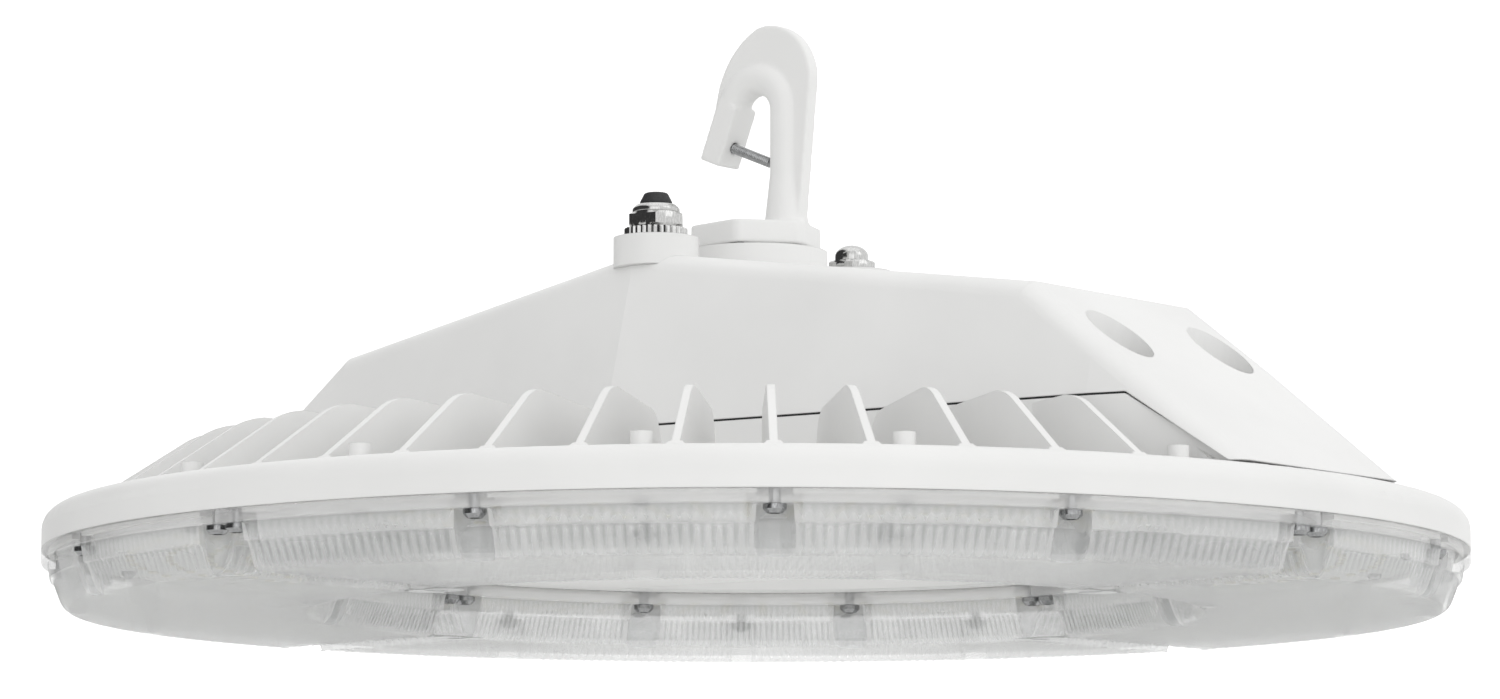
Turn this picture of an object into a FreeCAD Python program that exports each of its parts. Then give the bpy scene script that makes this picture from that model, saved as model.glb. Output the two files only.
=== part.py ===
# High bay light: a round finned heat-sink casting with a driver tray across its middle,
# a cast driver cover with a hook on top, and four ribbed clear lenses below.
# Frame: origin at the middle of the plane the lenses rest on, +Z up, +X along the driver tray.
import FreeCAD
import Part
import Sketcher
import math
import os

V = FreeCAD.Vector
doc = FreeCAD.newDocument("HighBayLight")
sheet = doc.addObject("Spreadsheet::Sheet", "Sizes")

sizes = {
    # heat-sink casting
    "ringRadius": 270.0,         # outside of the rim
    "ringBore": 148.0,           # inner edge of the finned plate
    "lensHeight": 22.0,          # underside of the plate above the rest plane
    "plateThick": 5.0,
    "lipHeight": 15.5,           # top of the rim above the plate's underside
    "rimWidth": 20.0,            # rim from its outside to the bays
    "shoulderRadius": 8.0,
    "footInset": 16.0,           # from the outside to where the fins' sloping edge leaves the lip
    "crownInset": 56.0,          # from the outside to where the slope meets the fins' top
    "finHeight": 41.8,           # fin top above the plate's underside, at the crown
    "finDrop": 2.5,              # fall of the fins' top towards the bore
    "crownRound": 16.0,
    "boreRound": 15.0,
    "finThick": 3.0,
    "finCount": 48.0,
    "bayRunIn": 8.0,             # how far the bays' cutter starts inside the bore
    "bayRound": 5.0,             # rounded bottom of each bay between two fins
    "bossRadius": 3.85,
    "bossHeight": 6.0,           # above the lip
    "bossInset": 23.5,           # from the outside to the circle of the board-screw bosses
    "bossNear": 10.3,            # degrees from a lens's centre line
    "bossFar": 34.7,
    # driver tray and its cover
    "trayHalf": 88.0,            # half width at the middle, at the seam
    "shoulderHalf": 59.0,        # half width where the arms start
    "armLength": 58.5,
    "armHalf": 44.0,             # half width at the arm's end
    "endInset": 10.5,            # from the ring's outside to the arm's end
    "trayWall": 4.5,
    "trayFloor": 5.0,
    "seamHeight": 42.0,          # seam above the plate's underside
    "seamDepth": 0.8,            # gasket thickness
    "coverDraft": 14.0,
    "coverWall": 3.6,
    "skinShare": 1.28,           # roof thickness on the slope, as a share of the wall
    "hollowPast": 5.0,           # how far the hollow reaches past the start of the arms
    "roofHeight": 68.5,          # roof at the middle, above the seam
    "rampLength": 90.5,          # from the arm's end to where the ramp meets the roof
    "rampDrop": 24.0,            # from the roof's middle to the top of the ramp
    "coverRound": 9.0,
    "padRadius": 27.5,           # raised disc under the hook
    "padRise": 7.3,              # above the roof
    "padDepth": 10.5,            # how far the hook's boss reaches below the roof
    "bossDepth": 5.5,
    "cableBossRadius": 16.0,     # boss under the gland and the one under the vent
    "cableBossRise": 6.2,        # above the roof
    "cableBossPlace": 58.5,
    "screwInset": 65.5,          # cover screws, in recesses of the ramps, from the arm's end
    "screwPlaceY": 31.0,
    "recessRadius": 12.0,
    "recessFloor": 6.0,          # above the cover's lower face
    "coverScrewLength": 18.0,
    "coverHeadRadius": 4.25,
    "coverHeadHeight": 5.0,
    "tubeWall": 3.0,
    "coverScrew": 2.5,           # M5 thread radius
    "screwPlay": 0.05,           # between a thread and its tapped hole
    "clearPlay": 0.4,            # between a thread and a plain hole
    "wireInset": 8.0,            # wire holes, from the boards' inner edge
    "wireTurn": 32.75,           # degrees from a lens's centre line
    "wireRadius": 4.0,
    # lenses
    "lensStep": 12.0,            # from the ring's bore to the inner edge of the clear flange
    "lensGap": 0.8,              # between two neighbouring flanges
    "lensTurn": 41.25,           # centre line of the first lens, degrees from +X
    "flangeThick": 5.0,
    "bodyInset": 2.5,            # the lens's walls start inside the flange's edge
    "bodyDraft": 20.0,
    "bodyRound": 5.0,
    "cavityInset": 5.5,
    "cavityDraft": 14.0,
    "lensFloor": 3.0,
    "pocketRadius": 7.0,         # clear pocket around each lens screw
    "pocketWall": 2.6,
    "lensScrewInset": 6.0,       # lens screws, from the flange's edges
    "outerStep": 22.2,           # degrees between the outer screws
    "innerNear": 14.8,
    "innerFar": 43.6,
    "outerFar": 43.9,
    "lensScrew": 2.0,            # M4 thread radius
    "lensScrewLength": 9.0,
    "lensHeadRadius": 4.0,
    "lensHeadHeight": 3.1,
    "headCrown": 0.45,           # rounded share of a cross-recessed head
    "socketCrown": 0.4,
    "screwPoint": 0.3,           # tapered end, as a share of the thread's radius
    "crossWide": 0.4,            # arm of the cross, as a share of its length
    "driveDepth": 0.6,           # share of the head's height
    "tapDepth": 4.4,
    "gasketInset": 0.8,          # from the cavity's edge to the gasket's groove
    "gasketWide": 2.0,
    "gasketThick": 1.6,
    "groovePlay": 0.1,
    # light-emitting boards
    "boardInset": 18.0,          # from the flange's edges
    "boardHalfAngle": 41.0,
    "boardThick": 1.6,
    "chipSide": 3.0,
    "chipHigh": 0.8,
    "chipInset": 14.0,           # first row of chips, from the board's inner edge
    "chipOuterInset": 15.0,      # last row, from the outer edge
    "chipRows": 4.0,
    "chipPitch": 4.2,            # degrees
    "chipCount": 18.0,
    "boardScrew": 1.5,           # M3 thread radius
    "boardScrewLength": 8.0,
    "boardHeadRadius": 2.8,
    "boardHeadHeight": 2.2,
    # hook
    "hookGap": 0.8,              # seal between the pad and the hook's foot
    "footRadius": 26.0,          # across corners of the six-sided foot
    "footThick": 9.0,
    "footTurn": -8.0,
    "studRadius": 10.0,
    "studLength": 26.0,
    "shankX": 15.2,              # centre line of the shank
    "bulbRadius": 6.3,
    "hookRise": 52.9,            # bend centre above the foot's underside
    "bendX": 1.9,
    "bendRadius": 13.3,
    "tipTilt": 22.4,             # degrees the tip leans from upright
    "tipLength": 24.0,
    "tipOuter": 4.0,             # outer face of the tip, from the bend's centre line
    "latchRise": 8.2,            # latch screw above the tip's end
    "latchGap": 0.3,             # latch screw to the shank
    "latchHeadRadius": 3.5,
    "latchHeadHeight": 2.4,
    "webThick": 5.5,
    "crownRadius": 22.5,
    "crownX": 6.6,
    "crownRise": 64.2,           # centre of the hook's outer round above the foot's underside
    "crownTurn": 100.0,          # where the outer round passes into the back's flatter one
    "crownFlat": 1.55,           # the back's radius, as a share of the outer round's
    "footEase": 0.8,             # turned off the foot's corners
    "flareWide": 1.35,           # flare under the shank, as shares of its radius
    "flareTight": 0.9,
    "webPast": 2.0,              # the web's outer face past the shank, at the foot
    "lockInset": 5.0,            # lock screw, from the foot's corners
    "lockSunk": 1.0,
    "sealInset": 9.0,
    "nutThick": 8.0,
    "nutFlats": 30.0,
    # cable gland and vent
    "glandThread": 8.0,
    "glandThreadLength": 18.0,
    "glandRingRadius": 11.9,
    "glandRingThick": 3.6,
    "glandFlats": 20.0,
    "glandHexThick": 5.7,
    "glandCapRadius": 9.0,
    "glandCapThick": 3.4,
    "glandCapRound": 1.2,
    "glandPlugRadius": 6.2,
    "plugRim": 1.2,              # the plug's head past its stem
    "plugEdge": 0.8,
    "plugEase": 3.2,
    "plugPast": 4.0,             # the stem below the gland's nut
    "hexTurn": 10.0,             # degrees the gland's and the vent's flats are turned
    "glandPlugHigh": 4.6,
    "ventThread": 6.0,
    "ventThreadLength": 10.0,
    "ventFlats": 18.0,
    "ventFlangeThick": 4.0,
    "ventCapRadius": 6.6,
    "ventCapHigh": 6.6,
    "ventCapSide": 0.45,         # upright share of the cap
    "ventCapFlat": 0.55,         # flat share of the cap's top
    # LED driver inside
    "driverLength": 250.0,
    "driverWide": 92.0,
    "driverHigh": 46.0,
    "driverEar": 12.0,
    "driverEarThick": 2.0,
    "driverEarInset": 4.0,
    "driverScrewShort": 1.2,     # screw's end above the tray's underside
    "terminalGap": 8.0,
    "terminalWide": 16.0,
    "terminalLong": 36.0,
    "terminalHigh": 14.0,
    "terminalWay": 2.5,
}
for row, (name, value) in enumerate(sizes.items(), start=1):
    sheet.set(f"A{row}", name)
    sheet.set(f"B{row}", str(value))
    sheet.setAlias(f"B{row}", name)
doc.recompute()


class Size:
    # A length or angle that knows its value and the expression that gives it.
    def __init__(self, value, text):
        self.value = float(value)
        self.text = text

    def __add__(self, other):
        other = asSize(other)
        return Size(self.value + other.value, f"({self.text} + {other.text})")

    def __radd__(self, other):
        return asSize(other) + self

    def __sub__(self, other):
        other = asSize(other)
        return Size(self.value - other.value, f"({self.text} - {other.text})")

    def __rsub__(self, other):
        return asSize(other) - self

    def __mul__(self, other):
        other = asSize(other)
        return Size(self.value * other.value, f"({self.text} * {other.text})")

    def __rmul__(self, other):
        return asSize(other) * self

    def __truediv__(self, other):
        other = asSize(other)
        return Size(self.value / other.value, f"({self.text} / {other.text})")

    def __rtruediv__(self, other):
        return asSize(other) / self

    def __neg__(self):
        return Size(-self.value, f"(-1 * {self.text})")


def asSize(value):
    return value if isinstance(value, Size) else Size(value, str(float(value)))


def sine(angle):
    angle = asSize(angle)
    return Size(math.sin(math.radians(angle.value)), f"sin({angle.text})")


def arcsine(ratio):
    return Size(math.degrees(math.asin(ratio.value)), f"(asin({ratio.text}) / 1 deg)")


def cosine(angle):
    angle = asSize(angle)
    return Size(math.cos(math.radians(angle.value)), f"cos({angle.text})")


def tangent(angle):
    angle = asSize(angle)
    return Size(math.tan(math.radians(angle.value)), f"tan({angle.text})")


def bind(thing, field, size):
    size = asSize(size)
    thing.setExpression(field, size.text)


class Named:
    pass


s = Named()
for name, value in sizes.items():
    setattr(s, name, Size(value, f"Sizes.{name}"))


def newBody(name):
    body = doc.addObject("PartDesign::Body", name)
    body.Label = name
    return body


def plane(body, role):
    return next(f for f in body.Origin.OriginFeatures if f.Role == role)


def newSketch(body, role="XY_Plane", height=0.0):
    # A sketch on one of the body's origin planes, lifted along the plane's normal by height.
    sketch = body.newObject("Sketcher::SketchObject", "Sketch")
    sketch.AttachmentSupport = [(plane(body, role), "")]
    sketch.MapMode = "FlatFace"
    bind(sketch, "AttachmentOffset.Base.z", height)
    return sketch


def pinPoint(sketch, geo, pos, x, y):
    for size, kind, axis in ((x, "DistanceX", -2), (y, "DistanceY", -1)):
        size = asSize(size)
        if abs(size.value) < 1e-9:
            sketch.addConstraint(Sketcher.Constraint("PointOnObject", geo, pos, axis))
        else:
            index = sketch.addConstraint(Sketcher.Constraint(kind, -1, 1, geo, pos, size.value))
            bind(sketch, f"Constraints[{index}]", size)


def addOutline(sketch, points):
    # A closed outline. A point (x, y) starts a straight edge; a point (x, y, radius) starts an
    # arc to the next point, counter-clockwise where the radius is positive.
    first = len(sketch.Geometry)
    flat = [(asSize(p[0]), asSize(p[1])) for p in points]
    for i, point in enumerate(points):
        ax, ay = flat[i][0].value, flat[i][1].value
        bx, by = flat[(i + 1) % len(points)][0].value, flat[(i + 1) % len(points)][1].value
        if len(point) == 2:
            sketch.addGeometry(Part.LineSegment(V(ax, ay, 0), V(bx, by, 0)), False)
            continue
        radius = asSize(point[2])
        turn = math.copysign(1.0, radius.value)
        chord = math.hypot(bx - ax, by - ay)
        rise = math.sqrt(max(radius.value ** 2 - chord ** 2 / 4, 0.0)) * turn
        cx = (ax + bx) / 2 - (by - ay) / chord * rise
        cy = (ay + by) / 2 + (bx - ax) / chord * rise
        start = math.atan2(ay - cy, ax - cx)
        end = math.atan2(by - cy, bx - cx)
        if turn < 0:
            start, end = end, start
        circle = Part.Circle(V(cx, cy, 0), V(0, 0, 1), abs(radius.value))
        sketch.addGeometry(Part.ArcOfCircle(circle, start, end), False)
    count = len(points)
    for i, point in enumerate(points):
        geo = first + i
        after = first + (i + 1) % count
        clockwise = len(point) == 3 and asSize(point[2]).value < 0
        nextPoint = points[(i + 1) % count]
        nextClockwise = len(nextPoint) == 3 and asSize(nextPoint[2]).value < 0
        sketch.addConstraint(Sketcher.Constraint("Coincident", geo, 1 if clockwise else 2,
                                                 after, 2 if nextClockwise else 1))
        pinPoint(sketch, geo, 2 if clockwise else 1, *flat[i])
        if len(point) == 3:
            radius = asSize(point[2])
            size = radius if radius.value > 0 else -radius
            index = sketch.addConstraint(Sketcher.Constraint("Radius", geo, size.value))
            bind(sketch, f"Constraints[{index}]", size)
    return sketch


def feature(body, kind, name="Feature"):
    return body.newObject(f"PartDesign::{kind}", name)


def pad(body, sketch, length, down=False):
    made = feature(body, "Pad", "Pad")
    made.Profile = sketch
    bind(made, "Length", length)
    made.Reversed = down
    return made


def pocket(body, sketch, length, up=False):
    made = feature(body, "Pocket", "Pocket")
    made.Profile = sketch
    bind(made, "Length", length)
    made.Reversed = up
    return made


def revolve(body, sketch):
    made = feature(body, "Revolution", "Turned")
    made.Profile = sketch
    made.ReferenceAxis = (sketch, ["V_Axis"])
    made.Angle = 360
    return made


def roundEdges(body, radius, chosen):
    # Rounds the edges of the body's last feature for which chosen(edge) is true.
    doc.recompute()
    base = body.Tip
    names = [f"Edge{i}" for i, edge in enumerate(base.Shape.Edges, start=1) if chosen(edge)]
    made = feature(body, "Fillet", "Rounded")
    made.Base = (base, names)
    bind(made, "Radius", radius)
    return made


def addCircle(sketch, x, y, radius):
    x, y, radius = asSize(x), asSize(y), asSize(radius)
    geo = sketch.addGeometry(Part.Circle(V(x.value, y.value, 0), V(0, 0, 1), radius.value), False)
    pinPoint(sketch, geo, 3, x, y)
    index = sketch.addConstraint(Sketcher.Constraint("Radius", geo, radius.value))
    bind(sketch, f"Constraints[{index}]", radius)


def polarPoint(radius, angle):
    return radius * cosine(angle), radius * sine(angle)


# Heights that several pieces share, all above the plane the lenses rest on.
over = 1.0      # how far a cutter reaches past what it cuts
plateLow = s.lensHeight
plateTop = plateLow + s.plateThick
lipTop = plateLow + s.lipHeight
seamTop = plateLow + s.seamHeight
coverLow = seamTop + s.seamDepth
roofTop = seamTop + s.roofHeight
rampHigh = roofTop - s.rampDrop
padTop = roofTop + s.padRise
bossTop = roofTop + s.cableBossRise

# Places along the radius that several pieces share.
rimInner = s.ringRadius - s.rimWidth
finFoot = s.ringRadius - s.footInset
finCrown = s.ringRadius - s.crownInset
slope = (s.finHeight - s.lipHeight) / (finFoot - finCrown)
armShoulder = finFoot - (s.seamHeight - s.lipHeight) / slope
armEnd = s.ringRadius - s.endInset
armStart = armEnd - s.armLength
hollowEnd = armStart + s.hollowPast
rampTop = armEnd - s.rampLength
lensBore = s.ringBore + s.lensStep
boardInner = lensBore + s.boardInset
boardOuter = s.ringRadius - s.boardInset
bossCircle = s.ringRadius - s.bossInset
bossTurns = (-s.bossFar, -s.bossNear, s.bossNear, s.bossFar)
wirePlace = boardInner + s.wireInset


def trayOutline(inset, end, grow=0.0):
    # Plan of the tray and cover: widest at the middle, tapering to the arms' ends.
    middle = s.trayHalf - inset + grow
    shoulder = s.shoulderHalf - inset + grow
    narrowing = (s.shoulderHalf - s.armHalf) / (armEnd - armStart)
    tip = shoulder - (end - armStart) * narrowing
    return [(-end, -tip), (-armStart, -shoulder), (asSize(0.0), -middle), (armStart, -shoulder),
            (end, -tip), (end, tip), (armStart, shoulder), (asSize(0.0), middle),
            (-armStart, shoulder), (-end, tip)]


# Free sketches, extrusions and booleans for the castings and lenses.
upright = FreeCAD.Rotation(V(1, 0, 0), 90)          # sketch X, Y along the part's X, Z
sideways = FreeCAD.Rotation(0.5, 0.5, 0.5, 0.5)     # sketch X, Y along the part's Y, Z


def freeSketch(height=0.0, turn=None, axis="z"):
    sketch = doc.addObject("Sketcher::SketchObject", "Outline")
    if turn is not None:
        sketch.Placement = FreeCAD.Placement(V(), turn)
    if asSize(height).value:
        bind(sketch, f"Placement.Base.{axis}", height)
    return sketch


def extrude(sketch, length, down=False, both=False, taper=0.0):
    solid = doc.addObject("Part::Extrusion", "Prism")
    solid.Base = sketch
    solid.DirMode = "Normal"
    solid.Solid = True
    solid.Reversed = down
    solid.Symmetric = both
    bind(solid, "LengthFwd", length)
    if asSize(taper).value:
        bind(solid, "TaperAngle", taper)
    return solid


def spin(sketch):
    solid = doc.addObject("Part::Revolution", "Turned")
    solid.Source = sketch
    solid.Axis = V(0, 0, 1)
    solid.Angle = 360
    solid.Solid = True
    return solid


def loft(*sections):
    solid = doc.addObject("Part::Loft", "Loft")
    solid.Sections = list(sections)
    solid.Solid = True
    solid.Ruled = True
    return solid


def cut(base, tool, name="Cut"):
    solid = doc.addObject("Part::Cut", name)
    solid.Base = base
    solid.Tool = tool
    return solid


def common(base, tool, name="Common"):
    solid = doc.addObject("Part::Common", name)
    solid.Base = base
    solid.Tool = tool
    return solid


def fuse(*shapes, name="Fuse"):
    solid = doc.addObject("Part::MultiFuse", name)
    solid.Shapes = list(shapes)
    return solid


def group(*shapes, name="Group"):
    solid = doc.addObject("Part::Compound", name)
    solid.Links = list(shapes)
    return solid


def around(thing, count, start=0.0, name="Around"):
    # Copies of one solid, evenly turned about the part's axis.
    doc.recompute()
    copies = []
    for i in range(int(count)):
        copy = thing.Shape.copy()
        copy.rotate(V(), V(0, 0, 1), start + 360.0 / count * i)
        copies.append(copy)
    placed = doc.addObject("Part::Feature", name)
    placed.Shape = Part.makeCompound(copies)
    return placed


def rounded(thing, radius, chosen, name="Rounded"):
    doc.recompute()
    solid = doc.addObject("Part::Fillet", name)
    solid.Base = thing
    solid.Edges = [(i, radius.value, radius.value)
                   for i, edge in enumerate(thing.Shape.Edges, start=1) if chosen(edge)]
    return solid


def label(thing, name):
    thing.Label = name
    return thing


def circles(places, radius, height):
    sketch = freeSketch(height)
    for x, y in places:
        addCircle(sketch, x, y, radius)
    return sketch


def makeRing():
    fall = s.finDrop / (finCrown - s.ringBore)
    crownTurn = s.crownRound * slope / 2
    envelope = addOutline(freeSketch(turn=upright), [
        (s.ringBore, plateLow),
        (s.ringRadius, plateLow),
        (s.ringRadius, lipTop - s.shoulderRadius, s.shoulderRadius),
        (s.ringRadius - s.shoulderRadius, lipTop),
        (finFoot, lipTop),
        (finCrown + crownTurn, plateLow + s.finHeight - crownTurn * slope, s.crownRound * 1.7),
        (finCrown - crownTurn, plateLow + s.finHeight - crownTurn * fall),
        (s.ringBore + s.boreRound, plateLow + s.finHeight - s.finDrop, s.boreRound),
        (s.ringBore, plateLow + s.finHeight - s.finDrop - s.boreRound)])
    halfPitch = asSize(180.0) / s.finCount

    def bayProfile(radius, low):
        # The gap between two fins, seen along a radius: straight sides, rounded bottom corners.
        half = radius * tangent(halfPitch) - s.finThick / 2
        high = plateLow + s.finHeight + s.bayRound
        return addOutline(freeSketch(radius, sideways, "x"), [
            (-half, high), (-half, low + s.bayRound, s.bayRound),
            (-half + s.bayRound, low), (half - s.bayRound, low, s.bayRound),
            (half, low + s.bayRound), (half, high)])

    inside = loft(bayProfile(s.ringBore - s.bayRunIn, plateTop), bayProfile(rimInner, plateTop))
    windowEnd = (finFoot + s.ringRadius - s.shoulderRadius) / 2
    window = loft(bayProfile(rimInner - over, lipTop), bayProfile(windowEnd, lipTop))
    bays = around(fuse(inside, window, name="Bay"), s.finCount.value, name="Bays")
    finned = cut(spin(envelope), bays, "Finned")

    boardPlaces = [polarPoint(bossCircle, s.lensTurn + turn) for turn in bossTurns]
    bossHigh = s.lipHeight - s.plateThick + s.bossHeight + over
    bosses = around(extrude(circles(boardPlaces, s.bossRadius, plateTop - over), bossHigh), 4)

    plan = extrude(addOutline(freeSketch(plateLow), trayOutline(asSize(0.0), armEnd)), s.seamHeight)
    side = addOutline(freeSketch(turn=upright), [
        (-armEnd, plateLow), (armEnd, plateLow), (armEnd, lipTop), (finFoot, lipTop),
        (armShoulder, seamTop), (-armShoulder, seamTop), (-finFoot, lipTop), (-armEnd, lipTop)])
    tray = common(plan, extrude(side, s.trayHalf * 3, both=True), "Tray")
    cavity = extrude(addOutline(freeSketch(seamTop + over), trayOutline(s.trayWall, hollowEnd)),
                     s.seamHeight - s.trayFloor + over, down=True)
    hollow = cut(fuse(finned, tray, bosses, name="Casting"), cavity, "Hollow")
    columns = extrude(circles(coverScrewPlaces(), s.coverScrew + s.trayWall, plateTop - over),
                      s.seamHeight - s.plateThick + over)

    lensHoles = [turned(x, y, s.lensTurn) for x, y in lensScrewPlaces()]
    wires = [polarPoint(wirePlace * mirror, turn) for mirror in (1.0, -1.0)
             for turn in (s.lensTurn - s.wireTurn, s.lensTurn - 90.0 + s.wireTurn)]
    holes = group(
        extrude(circles(coverScrewPlaces(), s.coverScrew + s.screwPlay, seamTop + over),
                s.seamHeight / 2, down=True),
        extrude(circles(driverScrewPlaces(), s.lensScrew + s.screwPlay, plateTop + over),
                s.trayFloor, down=True),
        extrude(circles(wires, s.wireRadius, plateLow - over), s.trayFloor + 2 * over),
        around(extrude(circles(lensHoles, s.lensScrew + s.screwPlay, plateLow - over),
                       s.tapDepth + over), 4),
        around(extrude(circles(boardPlaces, s.boardScrew + s.screwPlay, plateLow - over),
                       s.boardScrewLength + over), 4), name="Holes")
    return label(cut(fuse(hollow, columns, name="Braced"), holes, "Ring"), "heatsink_ring")


def turned(x, y, angle):
    return x * cosine(angle) - y * sine(angle), x * sine(angle) + y * cosine(angle)


def coverScrewPlaces():
    x = armEnd - s.screwInset
    return [(x * i, s.screwPlaceY * j) for i in (1.0, -1.0) for j in (1.0, -1.0)]


def driverScrewPlaces():
    x = s.driverLength / 2 + s.driverEar / 2
    y = s.driverWide / 2 - s.driverEar
    return [(x * i, y * j) for i in (1.0, -1.0) for j in (1.0, -1.0)]


def lensScrewPlaces():
    # Nine screws in each lens, about its own centre line along +X.
    outer = [polarPoint(s.ringRadius - s.lensScrewInset, turn)
             for turn in (-s.outerFar, -s.outerStep, asSize(0.0), s.outerStep, s.outerFar)]
    inner = [polarPoint(lensBore + s.lensScrewInset, turn)
             for turn in (-s.innerFar, -s.innerNear, s.innerNear, s.innerFar)]
    return outer + inner


def slicePrism(inset, low, high, grow=0.0, taper=0.0, end=None):
    plan = trayOutline(asSize(inset), armEnd if end is None else end, grow)
    return extrude(addOutline(freeSketch(low), plan), high - low, taper=taper)


def roofLine(x):
    # Height of the cover's outside above the rest plane, at a distance x from the middle.
    x = abs(x)
    if x <= rampTop.value:
        return roofTop.value + (rampHigh.value - roofTop.value) * x / rampTop.value
    run = (x - rampTop.value) / (armEnd.value - rampTop.value)
    return rampHigh.value + (lipTop.value + s.seamDepth.value - rampHigh.value) * run


def isRoofEdge(edge):
    middle = edge.valueAt((edge.FirstParameter + edge.LastParameter) / 2)
    ends = [v.Point for v in edge.Vertexes]
    along = abs(ends[0].x - ends[-1].x) > 5.0
    return along and abs(middle.y) > 10.0 and abs(middle.z - roofLine(middle.x)) < 0.5


def makeCover():
    toe = lipTop + s.seamDepth
    grow = (seamTop - lipTop) * tangent(s.coverDraft)
    plan = slicePrism(0.0, lipTop, padTop, grow, -s.coverDraft)
    side = addOutline(freeSketch(turn=upright), [
        (-armShoulder, coverLow), (armShoulder, coverLow), (finFoot, toe), (armEnd, toe),
        (rampTop, rampHigh), (asSize(0.0), roofTop), (-rampTop, rampHigh),
        (-armEnd, toe), (-finFoot, toe)])
    block = common(plan, extrude(side, s.trayHalf * 3, both=True), "CoverBlock")
    outside = rounded(block, s.coverRound, isRoofEdge, "CoverRounds")

    rampSlope = (rampHigh - toe) / (armEnd - rampTop)
    skin = s.coverWall * s.skinShare
    low = coverLow - over
    core = slicePrism(s.coverWall, low, roofTop, taper=-s.coverDraft, end=hollowEnd)
    coreEnd = rampHigh - (hollowEnd - rampTop) * rampSlope - skin
    coreSide = addOutline(freeSketch(turn=upright), [
        (-hollowEnd, low), (hollowEnd, low), (hollowEnd, coreEnd), (rampTop, rampHigh - skin),
        (asSize(0.0), roofTop - s.coverWall), (-rampTop, rampHigh - skin), (-hollowEnd, coreEnd)])
    inside = common(core, extrude(coreSide, s.trayHalf * 3, both=True), "CoverCore")
    shell = cut(outside, inside, "CoverShell")

    tubes = common(extrude(circles(coverScrewPlaces(), s.recessRadius + s.tubeWall, coverLow),
                           s.roofHeight), outside, "ScrewTubes")
    middle = (asSize(0.0), asSize(0.0))
    gland = (asSize(0.0), -s.cableBossPlace)
    vent = (asSize(0.0), s.cableBossPlace)
    hookPad = extrude(circles([middle], s.padRadius, roofTop - s.padDepth), s.padRise + s.padDepth)
    bosses = extrude(circles([gland, vent], s.cableBossRadius, roofTop - s.bossDepth),
                     s.cableBossRise + s.bossDepth)
    floor = coverLow + s.recessFloor
    holes = group(
        extrude(circles([middle], s.studRadius + s.screwPlay, seamTop), s.roofHeight * 2),
        extrude(circles([gland], s.glandThread + s.screwPlay, seamTop), s.roofHeight * 2),
        extrude(circles([vent], s.ventThread + s.screwPlay, seamTop), s.roofHeight * 2),
        fuse(extrude(circles(coverScrewPlaces(), s.recessRadius, floor), s.roofHeight),
             extrude(circles(coverScrewPlaces(), s.coverScrew + s.clearPlay, coverLow - over),
                     s.recessFloor + 2 * over)))
    solid = cut(fuse(shell, tubes, hookPad, bosses, name="CoverCasting"), holes, "Cover")
    return label(solid, "driver_cover")


def makeCoverGasket():
    outer = slicePrism(s.gasketInset, seamTop, coverLow, end=armShoulder - over)
    inner = slicePrism(s.trayWall, seamTop - over, coverLow + over, end=hollowEnd)
    return label(cut(outer, inner, "Gasket"), "cover_gasket")


def screwForm(name, radius, length, headRadius, headHeight, recess, cross=True):
    # A screw along +Z with the underside of its head at the origin.
    body = newBody(name)
    crown = headHeight * s.headCrown if cross else s.socketCrown
    point = radius * s.screwPoint
    outline = newSketch(body, "XZ_Plane")
    addOutline(outline, [
        (asSize(0.0), -headHeight), (headRadius - crown, -headHeight), (headRadius, crown - headHeight),
        (headRadius, asSize(0.0)), (radius, asSize(0.0)), (radius, length - point),
        (radius - point, length), (asSize(0.0), length)])
    revolve(body, outline)
    drive = newSketch(body, "XY_Plane", -headHeight)
    if cross:
        wide = recess * s.crossWide
        plus = [(recess, -wide), (recess, wide), (wide, wide), (wide, recess), (-wide, recess),
                (-wide, wide), (-recess, wide), (-recess, -wide), (-wide, -wide), (-wide, -recess),
                (wide, -recess), (wide, -wide)]
        addOutline(drive, [(x / 2, y / 2) for x, y in plus])
    else:
        addOutline(drive, hexagon(recess, 0.0))
    pocket(body, drive, headHeight * s.driveDepth, up=True)
    return body


def hexagon(flats, turn, x=0.0, y=0.0):
    corner = flats / 2 / cosine(30.0)
    return [(x + corner * cosine(turn + 60.0 * i), y + corner * sine(turn + 60.0 * i)) for i in range(6)]


def placed(form, name, places, height, flip=False):
    # Copies of one fastener at each place, as a group of separate solids.
    doc.recompute()
    copies = []
    for x, y in places:
        copy = form.Shape.copy()
        if flip:
            copy.rotate(V(), V(1, 0, 0), 180)
        copy.translate(V(asSize(x).value, asSize(y).value, height.value))
        copies.append(copy)
    thing = doc.addObject("Part::Feature", name)
    thing.Shape = Part.makeCompound(copies)
    return label(thing, name)


def sector(inset, bore, radius, gap):
    # Quarter-ring plan about +X, every edge moved inwards by inset.
    inner = bore + inset
    outer = radius - inset
    side = gap / 2 + inset
    innerTurn = 45.0 - arcsine(side / inner)
    outerTurn = 45.0 - arcsine(side / outer)
    corner = polarPoint(outer, -outerTurn)
    last = polarPoint(inner, innerTurn)
    return [polarPoint(inner, -innerTurn), (*corner, outer), polarPoint(outer, outerTurn),
            (*last, -inner)]


def lensPlan(inset, low, high, wall, down=False, taper=0.0):
    # A sector prism with clearance left around each screw pocket.
    sketch = addOutline(freeSketch(high if down else low), sector(inset, lensBore, s.ringRadius, s.lensGap))
    block = extrude(sketch, high - low, down=down, taper=taper)
    clearance = extrude(circles(lensScrewPlaces(), wall, low - over), high - low + 2 * over)
    return cut(block, clearance, "LensPlan")


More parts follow.
